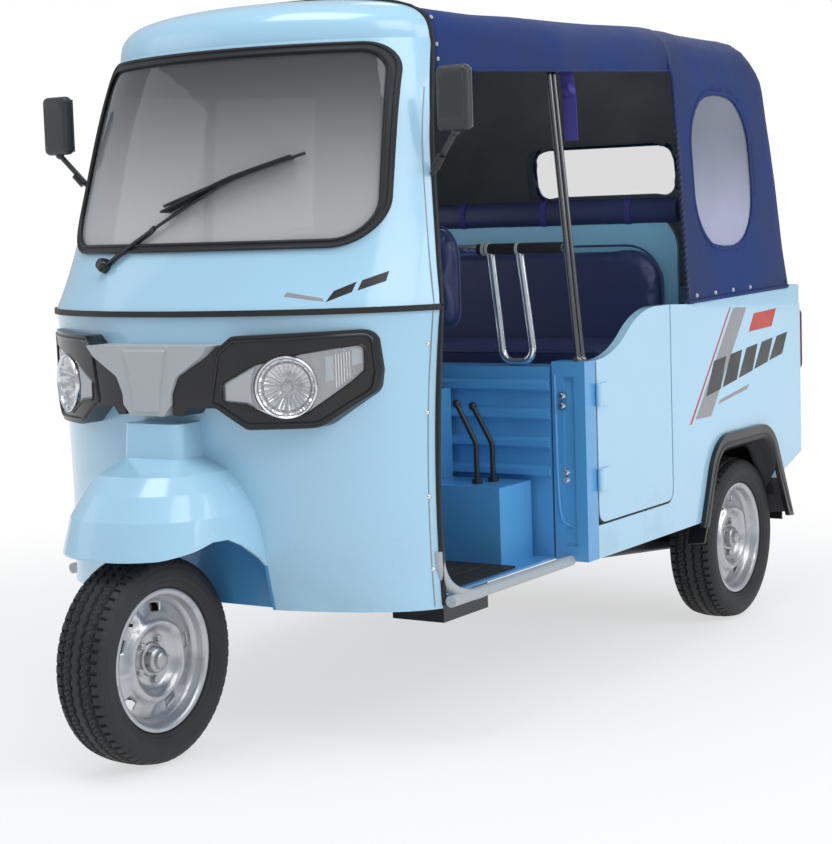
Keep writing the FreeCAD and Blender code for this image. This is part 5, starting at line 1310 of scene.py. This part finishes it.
LAMP_LINE = [(195, 844), (250, 837), (306, 806), (367, 811), (450, 882), (472, 908), (472, 971), (361, 954), (267, 931),
             (195, 890)]
LAMP_CORNERS = [11, 13, 26, 26, 22, 13, 13, 18, 18, 11]
LAMP_MIDDLE = (330, 877)
BEZEL_LINE = [(170, 842), (184, 840), (250, 793), (390, 792), (481, 864), (487, 908), (482, 992), (224, 986),
              (190, 958)]
BEZEL_CORNERS = [5, 12, 30, 34, 28, 26, 18, 14, 16]
LAMP_WEDGE = [(201, 849), (251, 843), (262, 838), (259, 860), (258, 880), (262, 905), (268, 926), (201, 887)]
LAMP_FOOT = [(262, 834), (300, 812), (346, 812), (330, 806), (304, 806.5)]
TURN_PANELS = [[(402, 884), (416, 888), (416, 946), (402, 943)], [(447, 920), (464, 924), (464, 962), (447, 959)]]
TURN_RIBS = [[(420 + number * 4.6, z) for z in (872 + number * 4, 900, 925, 948 + number)] for number in range(6)]
# Forms turned about the lamp's axis, as (along, radius)
LAMP_RING = [(-0.006, 0.0640), (0.0045, 0.0655), (0.0080, 0.0670), (0.0095, 0.0692), (0.0080, 0.0716), (0.0030, 0.0732),
             (-0.006, 0.0735)]
LAMP_DOME = [(0.0060 + 0.0150 * (1 - (share / 10) ** 2), 0.066 * share / 10) for share in range(10, -1, -1)]
LAMP_BOWL = [(0.0010, 0.0645), (-0.0040, 0.0600), (-0.0100, 0.0540), (-0.0160, 0.0460), (-0.0210, 0.0370),
             (-0.0250, 0.0270), (-0.0270, 0.0170), (-0.0275, 0.0)]
LAMP_BULB = [(-0.027, 0.0150), (-0.0120, 0.0145), (-0.0050, 0.0135), (-0.0010, 0.0105), (0.0005, 0.0)]


def front_outline(points, side=1):
    return [at(x * side, 0, z) for x, z in points]


def bead(name, outline, skin, radius, finish, fine=0.0):
    """A round bead along a closed line of places laid on a skin's front."""
    if fine:
        outline = divided(outline + outline[:1], fine)[:-1]
    line, outs = laid(skin, outline, BACKWARD)
    swept(name, line, ring(radius, 8), finish, closed=True, up=outs)


def fluted(along, radius, angle):
    """The reflector's waves round its axis and its steps outwards."""
    wave = math.cos(angle * 14) * 0.0034 * min(1.0, radius / 0.03)
    return along + wave + math.cos(radius * 520.0) * 0.0016, radius


def lamps():
    """What lies in and on each headlamp: ring, dome, fluted reflector, bulb, silver wedge and turn lamp."""
    unit, lens, frame_skin = Skin("headlamps"), Skin("lamp_lenses"), Skin("lamp_bezels")
    bezel = Skin("lamp_bezels", "lamp_lenses")
    for side, label in SIDES:
        spot, axis = lens.hit(at(LAMP_MIDDLE[0] * side, -900, LAMP_MIDDLE[1]), BACKWARD)
        axis = (axis + Vector((0, -0.12, 0))).normalized()
        turned("lamp_ring_" + label, LAMP_RING, spot, "chrome", axis=axis, sides=72)
        turned("lamp_dome_" + label, LAMP_DOME, spot, "clear", axis=axis, sides=64)
        turned("lamp_reflector_" + label, LAMP_BOWL, spot, "mirror", axis=axis, sides=144, shape=fluted, cut=20)
        turned("lamp_bulb_" + label, LAMP_BULB, spot, "steel", axis=axis, sides=32)
        patch("lamp_wedge_" + label, front_outline(LAMP_WEDGE, side), bezel, BACKWARD, "silver", rise=0.0012)
        patch("lamp_foot_" + label, front_outline(LAMP_FOOT, side), bezel, BACKWARD, "chrome", rise=0.0016, rings=2)
        panels = [patch("turn_panel_%s_%d" % (label, number), front_outline(corners, side), unit, BACKWARD, "white",
                        rise=0.0012, rings=2) for number, corners in enumerate(TURN_PANELS)]
        joined("turn_reflectors_" + label, panels)
        ribs = [laid(unit, front_outline(line, side), BACKWARD, 0.0008)[0] for line in TURN_RIBS]
        swept_row("turn_ribs_" + label, ribs, ring(0.0012, 6), "mirror")
        lip = front_outline(rounded_corners(LAMP_LINE, LAMP_CORNERS, 5), side)
        bead("bezel_lip_" + label, lip, bezel, 0.0032, "gloss")
        edge = front_outline(rounded_corners(BEZEL_LINE, BEZEL_CORNERS, 5), side)
        bead("bezel_bead_" + label, edge, frame_skin, 0.0046, "gloss", fine=0.02)


def nose():
    """The raised middle of the nose plate, left bare."""
    outline = [(-66, 969), (66, 969), (52, 915), (42, 868), (39, 820), (-39, 820), (-42, 868), (-52, 915)]
    patch("plate_middle", front_outline(outline), Skin("nose_plate"), BACKWARD, "silver", rise=0.0045, edge=0.93)


WIPER_CAP = [(0.0, 0.0185), (0.010, 0.0180), (0.020, 0.0155), (0.026, 0.0120), (0.027, 0.0)]
WIPER_STEPS = 14


def screen_line(trim):
    """The windscreen's outline, smaller by a trim."""
    low, high = 1190 + trim, 1672 - trim
    corners = [(trim - 484, low), (484 - trim, low), (448 - trim, high), (trim - 448, high)]
    return rounded_corners(corners, [105 - trim, 105 - trim, 80 - trim, 80 - trim], 9)


def screen():
    """Beads of the rubber gasket, and the wiper's rubber, cap and sleeve."""
    gasket = Skin("windscreen_gasket")
    bead("gasket_outer_bead", front_outline(screen_line(4)), gasket, 0.0042, "rubber", fine=0.03)
    bead("gasket_inner_bead", front_outline(screen_line(18)), gasket, 0.0036, "rubber", fine=0.03)
    glass, arm = Skin("windscreen_glass"), Skin("wiper")
    line = []
    for step in range(WIPER_STEPS + 1):
        share = step / WIPER_STEPS
        x, z = -60 + 350 * share, 1301.5 + 109 * share
        front = arm.near(at(x, 150, z))
        back = glass.hit(at(x, -900, z), BACKWARD)[0]
        line.append((front + back) / 2)
    depth = (front - back).length / 2
    section = [(-0.0012, -depth), (0.0012, -depth), (0.0022, depth), (-0.0022, depth)]
    swept("wiper_rubber", line, section, "rubber", up=(0, -1, 0))
    pivot, normal = Skin("windscreen_frame").hit(at(-250, -900, 1158), BACKWARD)
    turned("wiper_cap", WIPER_CAP, pivot, "gloss", axis=normal, sides=32)
    sleeve = [arm.near(pivot.lerp(at(115, 190, 1356), share)) for share in (0.02, 0.1, 0.2, 0.3, 0.4, 0.46)]
    section = [(0.0065, -0.003), (0.005, 0.004), (-0.005, 0.004), (-0.0065, -0.003)]
    swept("wiper_sleeve", smooth_route(sleeve, 4), section, "gloss", up=(0, -1, 0))


CAB_EDGE = [(571, 408, 342), (568, 409, 480), (564, 411, 632), (570, 414, 830), (580, 420, 1030), (578, 425, 1060),
            (552, 459, 1210), (519, 502, 1431), (499, 542, 1560), (480, 582, 1676)]
CAB_SCREW_LEVELS = (430, 602, 800, 960)


def cab_edge():
    """The rubber along the cab's rear edge, from the sill over the roof, and the seam ahead of it."""
    roof = Skin("roof_cap")
    arch = []
    for step in range(3, 48):
        angle = math.pi * step / 50
        way = Vector((math.cos(angle), 0, math.sin(angle)))
        spot = roof.hit(at(0, 582, 1560) + way * RAY_OUT, -way)[0]
        if spot is not None and spot.z > at(0, 0, 1690).z:
            arch.append(spot)
    left = smooth_route([at(*place) for place in CAB_EDGE], 6)
    right = [Vector((-place.x, place.y, place.z)) for place in left[::-1]]
    route = left + arch + right
    outs = [Vector((place.x, 0, max(0.0, place.z - 1.5))).normalized() for place in route]
    swept("cab_edge_rubber", [place + Vector((0, 0.004, 0)) for place in route], band(0.009, 0.013), "rubber", up=outs)
    cab = Skin("front_cowl", "windscreen_frame")
    for side, label in SIDES:
        way = (-side, 0, 0)
        line = laid(cab, [at(x * side, y - 17, z) for x, y, z in CAB_EDGE[:-1]], way)[0]
        swept("cab_seam_" + label, smooth_route(line, 6), ring(0.0016, 6), "stripe_grey")
        screws = [cab.hit(at(900 * side, 394, level), way) for level in CAB_SCREW_LEVELS]
        bolts("cab_screws_" + label, screws, 0.0062, "chrome")


def front_graphic():
    """A generic slanted mark below the windscreen's corner."""
    skin = Skin("windscreen_frame")
    marks = (("black", [(392, 225, 1066), (404, 245, 1092), (440, 290, 1112), (430, 283, 1088)], "stripe_black"),
             ("black_long", [(438, 290, 1090), (448, 297, 1114), (500, 337, 1134), (492, 333, 1110)], "stripe_black"),
             ("grey", [(300, 190, 1082), (306, 195, 1092), (380, 236, 1076), (384, 236, 1068)], "stripe_grey"))
    for name, outline, finish in marks:
        places = [at(*place) for place in outline]
        patch("front_mark_" + name, places, skin, (-0.55, 0.83, 0), finish, rise=0.0005, rings=2)


def mirror_backs():
    """The grey back of each mirror and the clamp at its stem."""
    skin = Skin("mirrors")
    shell = rounded_corners(rectangle((577, 1459), (647, 1591)), 14, 4)
    for side, label in SIDES:
        patch("mirror_back_" + label, front_outline(shell, side), skin, BACKWARD, "grey",
              rise=0.0025, edge=0.9, rings=3, fine=1)
        low, high = [skin.near(at(x * side, 455, z)) for x, z in ((550, 1360), (570, 1390))]
        swept("mirror_clamp_" + label, [low, low.lerp(high, 0.5), high], ring(0.0105, 12), "gloss")


SPRING_TURNS, SPRING_STEPS, SPRING_RADIUS = 7.0, 150, 0.0245


def damper_spring():
    """The coil round the front damper."""
    foot, head = at(-104, 51, 296), at(-104, 33, 505)
    ways = ways_across((head - foot).normalized())
    route = []
    for step in range(SPRING_STEPS + 1):
        share = step / SPRING_STEPS
        route.append(foot.lerp(head, share) + round_way(ways, SPRING_TURNS * 2 * math.pi * share) * SPRING_RADIUS)
    swept("damper_spring", route, ring(0.0034, 8), "iron", wheel_body("front_damper"))


# Side dressing

# How far out the flat outlines of the side marks start
MARK_X = 0.645
SIDE_MARKS = (("side_line_red", [(1946, 962), (1955, 962), (1662, 640), (1650, 640)], "stripe_red"),
              ("side_band_grey", [(1972, 958), (2078, 962), (1800, 652), (1690, 652)], "stripe_grey"),
              ("side_bar_red", [(2086, 880), (2128, 934), (2306, 940), (2268, 886)], "stripe_red"),
              ("side_line_low", [(1852, 683), (1866, 694), (2086, 722), (2068, 708)], "stripe_grey"))
SIDE_BARS, BAR_START, BAR_PITCH, BAR_LENGTH = 5, 1766, 120, 104


def side_graphics():
    """Generic slanted bars on the rear quarters: black, grey and red."""
    for side, label in SIDES:
        skin = Skin("side_panel_" + label)

        def mark(name, outline, finish, rise=0.0005):
            places = [at(0, y, z) + Vector((MARK_X * side, 0, 0)) for y, z in outline]
            return patch("%s_%s" % (name, label), places, skin, (-side, 0, 0), finish,
                         rise=rise, rings=1, edge=0.99, fine=2)

        for name, outline, finish in SIDE_MARKS:
            mark(name, outline, finish)
        bars = []
        for number in range(SIDE_BARS):
            run = number * BAR_PITCH
            start, end = BAR_START + run, BAR_START + run + BAR_LENGTH
            low, high = 712 + run * 0.145, 812 + run * 0.085
            outline = [(start, low), (end, low + 14), (end + 44, high + 8), (start + 62, high)]
            bars.append(mark("side_bar_%d" % number, outline, "stripe_black", 0.0011))
        joined("side_bars_" + label, bars)


# The body's top rail: how far out it lies, its corner, its depth inwards, and its steps along side, corner and back
RAIL_X, RAIL_CORNER, RAIL_DEPTH = 0.6465, 0.016, 0.026
RAIL_SIDE, RAIL_ROUND, RAIL_BACK = 24, 6, 12


def rails():
    """The body's top edge under the canopy, from the doors round the back."""
    back = TAIL_BOX.high.y + 0.0015
    start = at(0, 1690, 0).y
    x, y = RAIL_X - RAIL_CORNER, back - RAIL_CORNER
    path = [(RAIL_X, start + (y - start) * step / RAIL_SIDE) for step in range(RAIL_SIDE + 1)]
    path += [(x + RAIL_CORNER * math.cos(angle), y + RAIL_CORNER * math.sin(angle))
             for angle in [math.pi / 2 * step / RAIL_ROUND for step in range(1, RAIL_ROUND + 1)]]
    path += [(x * (1 - step / RAIL_BACK), back) for step in range(1, RAIL_BACK)]
    path += [(-x, y) for x, y in path[::-1]]
    places = []
    for x, y in path:
        top = tail_foot(y) + 0.002
        low = at(0, 0, 978 - 50 * min(1.0, (y - start) / (back - start))).z
        narrow = (abs(x) - RAIL_DEPTH) / max(abs(x), 0.001) if abs(x) > 0.03 else 1.0
        deep = min(y, back - RAIL_DEPTH)
        places += [(x, y, low), (x, y, top - 0.003), (x * 0.998, y - 0.001, top), (x * narrow, deep, top),
                   (x * narrow, deep, low)]
    faces = grid_faces(len(path), 5, close_columns=True) + [face[::-1] for face in end_caps(len(path), 5)]
    piece("body_top_rail", places, faces, "body", cut=35)


PILLAR_BOLTS = ((578, 783), (577, 757), (582, 583), (582, 563))
PILLAR_SWAGE = ((557, 838), (558, 740), (559, 640), (562, 520), (569, 462), (584, 444), (602, 440))
SILL_BEND = ((560, 413, 470), (562, 415, 430), (570, 428, 392), (583, 458, 365), (592, 505, 353), (592, 560, 352))


def door_dressing():
    """The seal round each door, and the bolts, swages and sill bends beside it."""
    pillars = Skin("door_pillars")
    for side, label in SIDES:
        line = open_corners([at(642 * side, y, z) for y, z in ((1076, 866), (1076, 440), (1522, 440))], 0.034)
        swept("door_seal_" + label, divided(line, 0.03), ring(0.0026, 8), "rubber")
        spots = [pillars.hit(at(x * side, 800, z), BACKWARD) for x, z in PILLAR_BOLTS]
        bolts("pillar_bolts_" + label, spots, 0.0075, "chrome", head="hex")
        line = laid(pillars, [at(x * side, 900, z) for x, z in PILLAR_SWAGE], BACKWARD)[0]
        swept("pillar_swage_" + label, smooth_route(line, 5), ring(0.0042, 10), "inner")
        bend = [at(x * side, y, z) for x, y, z in SILL_BEND]
        swept("sill_bend_" + label, smooth_route(bend, 6), ring(0.0145, 16), "white")


ARCH_LINE = [(1712, 292), (1833, 556), (2216, 556), (2377, 292)]
# The lip's section: how far out, and how far in from the arch's line
ARCH_SECTION = [(0.6600, -0.010), (0.6605, 0.000), (0.6560, 0.007), (0.6450, 0.011), (0.6250, 0.016), (0.6020, 0.024),
                (0.5900, 0.034), (0.5880, 0.034), (0.6000, 0.020), (0.6250, 0.010), (0.6440, 0.004)]


def arch_lips():
    """The wide inner lip of each rear arch."""
    line = divided(open_corners([at(0, y, z) for y, z in ARCH_LINE], 0.112), 0.02)
    hub = at(0, 2100, 300)
    spots = []
    for before, place, after in zip(line[:1] + line, line, line[1:] + line[-1:]):
        inwards = Vector((0, after.z - before.z, before.y - after.y)).normalized()
        if inwards.dot(hub - place) < 0:
            inwards = -inwards
        narrow = 1.0 - 0.6 * smooth_step(0.0, 0.12, place.y - at(0, 2240, 0).y)
        spots += [(x, place + inwards * reach * narrow) for x, reach in ARCH_SECTION]
    rows, columns = len(line), len(ARCH_SECTION)
    faces = grid_faces(rows, columns, close_columns=True) + end_caps(rows, columns)
    for side, label in SIDES:
        piece("arch_lip_" + label, [(x * side, spot.y, spot.z) for x, spot in spots], faces, "black", cut=40)


# Inside

POST_FOOT = [(-0.001, 0.0115), (0.004, 0.0115), (0.009, 0.0090), (0.011, 0.0072)]


def posts():
    """The paired tubes between the door pillars and the roof."""
    tubes = []
    for side, label in SIDES:
        for y in (1030, 1054):
            foot, head = at(618 * side, y, 873), at(550 * side, y, 1640)
            tubes.append(swept("post_%s_%d" % (label, y), divided([foot, head], 0.1), ring(0.0075, 14), "post"))
            tubes.append(turned("post_foot_%s_%d" % (label, y), POST_FOOT, foot, "post", axis=UP, sides=20))
    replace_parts(joined("post_tubes", tubes), "canopy_posts")


GUARD_BAR = (1042, 1165)


def guard():
    """The dark sleeve on the partition bar and its pale clips."""
    for side, label in SIDES:
        ends = [at(x * side, *GUARD_BAR) for x in (322, 575)]
        swept("guard_sleeve_" + label, divided(ends, 0.05), ring(0.0150, 14), "rubber")
        clips = [[at((x - 4) * side, *GUARD_BAR), at((x + 4) * side, *GUARD_BAR)] for x in (340, 352, 443)]
        swept_row("guard_clips_" + label, clips, ring(0.0172, 14), "white")


ROLL_RISE, ROLL_HALF, ROLL_STEPS = 0.004, 0.575, 60
TIE_STEPS = 24


def back_roll():
    """The rolled curtain on top of the panel behind the bench, with its ties."""
    y, z = at(0, 1751, 0).y, Box("seat_back_panel").high.z + ROLL_RISE
    route = []
    for step in range(ROLL_STEPS + 1):
        x = -ROLL_HALF + 2 * ROLL_HALF * step / ROLL_STEPS
        lump = noise.noise(Vector((x * 7.0, 0.3, 0.9)))
        route.append(Vector((x, y + 0.001 * lump, z + 0.0015 * lump)))
    section = [(side, out * (1.0 + 0.03 * math.sin(index * 1.7)))
               for index, (side, out) in enumerate(ring(0.0205, 20, 1.8))]
    swept("back_roll", route, section, "vinyl", up=UP)
    for number in range(4):
        place = Vector((-0.42 + 0.28 * number, y, z))
        loop = [place + Vector((0, math.cos(angle) * 0.0222, math.sin(angle) * 0.0388))
                for angle in [2 * math.pi * step / TIE_STEPS for step in range(TIE_STEPS)]]
        outs = [(spot - place).normalized() for spot in loop]
        swept("roll_tie_%d" % number, loop, band(0.018, 0.0016), "webbing", closed=True, up=outs)


GRAB_STRAP = [(562, 1098, 1655), (566, 1102, 1610), (569, 1106, 1570), (571, 1108, 1520), (573, 1108, 1440)]
GRAB_KNOT = [(-0.016, 0.0), (-0.014, 0.010), (-0.006, 0.0155), (0.002, 0.0150), (0.010, 0.0165), (0.015, 0.010),
             (0.017, 0.0)]


def grab_strap():
    """A webbing strap that hangs from the roof with a knot in it, on the left only."""
    route = smooth_route([at(*place) for place in GRAB_STRAP], 6)
    swept("grab_strap_left", route, band(0.036, 0.0028), "webbing", up=(0.25, -1, 0))
    turned("grab_knot_left", GRAB_KNOT, at(569, 1104, 1570), "webbing", axis=(0.9, 0, 0.4), sides=24)


def floor_ribs():
    """Ribs of the driver's floor mat."""
    box = Box("floor_mat")
    ribs = [divided([Vector((number * 0.05, y, box.high.z)) for y in (box.low.y + 0.012, box.high.y - 0.012)], 0.1)
            for number in range(-9, 10)]
    swept_row("mat_ribs", ribs, ring(0.0045, 8, 0.55), "mat", up=UP)


def dials():
    """A plain round instrument on the dashboard."""
    face = at(0, 170, 926)
    rim = [(-0.001, 0.040), (0.006, 0.040), (0.010, 0.037), (0.006, 0.034), (0.001, 0.033)]
    turned("dial_rim", rim, face, "gloss", axis=BACK, sides=48)
    turned("dial_face", [(0.0010, 0.0335), (0.0022, 0.0330), (0.0022, 0.0)], face, "white", axis=BACK, sides=32)


# Back

# Each tail lamp: its middle, the lenses as (name, finish, low, high), and its rim
TAIL_LAMP_X = 591
TAIL_LENSES = (("amber", "amber", 868, 914), ("red", "red", 800, 860), ("clear", "white", 746, 792))
TAIL_RIM = rounded_corners(rectangle((TAIL_LAMP_X - 47, 739), (TAIL_LAMP_X + 47, 921)), 10, 4)
BUMPER_CAP = [(-0.030, 0.0262), (-0.004, 0.0262), (0.0, 0.0245), (0.0, 0.0)]


def back():
    """Tail lamp lenses, the blank number plate, the hatch pressing, louvres and bumper brackets."""
    lamps_skin, panel = Skin("tail_lamps"), Skin("rear_panel")
    bumper = Box("rear_bumper")

    def plate(name, half, low, high, skin, finish, middle=0.0, corner=12, **more):
        corners = rounded_corners(rectangle((middle - half, low), (middle + half, high)), corner, 4)
        patch(name, [at(x, 2600, z) for x, z in corners], skin, (0, -1, 0), finish, fine=2, **more)

    plate("rear_hatch", 430, 735, 905, panel, "body", corner=36, rise=0.005, edge=0.97)
    plate("number_plate", 165, 590, 688, panel, "white", corner=8, rise=0.003, edge=0.985)
    for side, label in SIDES:
        for name, finish, low, high in TAIL_LENSES:
            plate("tail_%s_%s" % (name, label), 40, low, high, lamps_skin, finish, TAIL_LAMP_X * side, rise=0.003)
        rim = [at(x * side, 2529, z) for x, z in TAIL_RIM]
        swept("tail_lamp_rim_" + label, rim, ring(0.0034, 8), "gloss", closed=True)
        bracket = [at(400 * side, y, 505) for y in (2500, 2516, 2530)]
        swept("bumper_bracket_" + label, bracket, band(0.055, 0.036), "iron", up=UP)
        bolt("plate_bolt_" + label, at(120 * side, 2506, 640), BACK, 0.0075, head="hex")
        louvres = [[at((260 + 24 * step) * side, 2503, 600 + number * 17) for step in range(10)] for number in range(6)]
        swept_row("rear_louvres_" + label, louvres, ring(0.0062, 10, 0.8), "body", up=BACK)
        end = Vector((bumper.high.x * side, bumper.middle.y, bumper.middle.z))
        turned("bumper_cap_" + label, BUMPER_CAP, end, "rubber", axis=(side, 0, 0), sides=32)
    handle = [at(x, y, 862) for x, y in ((-60, 2508), (-52, 2522), (52, 2522), (60, 2508))]
    swept("hatch_handle", smooth_route(handle, 5), ring(0.006, 10), "gloss")


FIN_SECTION = [(-0.0015, -0.002), (0.0015, -0.002), (0.001, 0.012), (-0.001, 0.012)]
FAN_COVER = [(-0.002, 0.098), (0.014, 0.096), (0.022, 0.088), (0.022, 0.074), (0.017, 0.070), (0.017, 0.060),
             (0.022, 0.056), (0.022, 0.044), (0.017, 0.040), (0.017, 0.026), (0.024, 0.022), (0.026, 0.0)]


def engine():
    """Cooling fins and the fan cover of the engine casing."""
    box = Box("engine_block")
    fins = []
    for number in range(12):
        z = box.low.z + 0.02 + number * 0.024
        fins.append(divided([Vector((box.low.x + x, box.high.y, z)) for x in (0.01, 0.20)], 0.1))
    swept_row("engine_fins", fins, FIN_SECTION, "engine", up=BACK)
    hub = Vector((box.high.x - 0.105, box.high.y, box.middle.z))
    turned("engine_fan_cover", FAN_COVER, hub, "iron", axis=BACK, sides=64)


camera()
studio()
finish_nodes()
wheels()
canopy_front()
canopy_tail()
canopy_bows()
seats()
lamps()
nose()
screen()
cab_edge()
front_graphic()
mirror_backs()
damper_spring()
side_graphics()
rails()
door_dressing()
arch_lips()
posts()
guard()
back_roll()
grab_strap()
floor_ribs()
dials()
back()
engine()
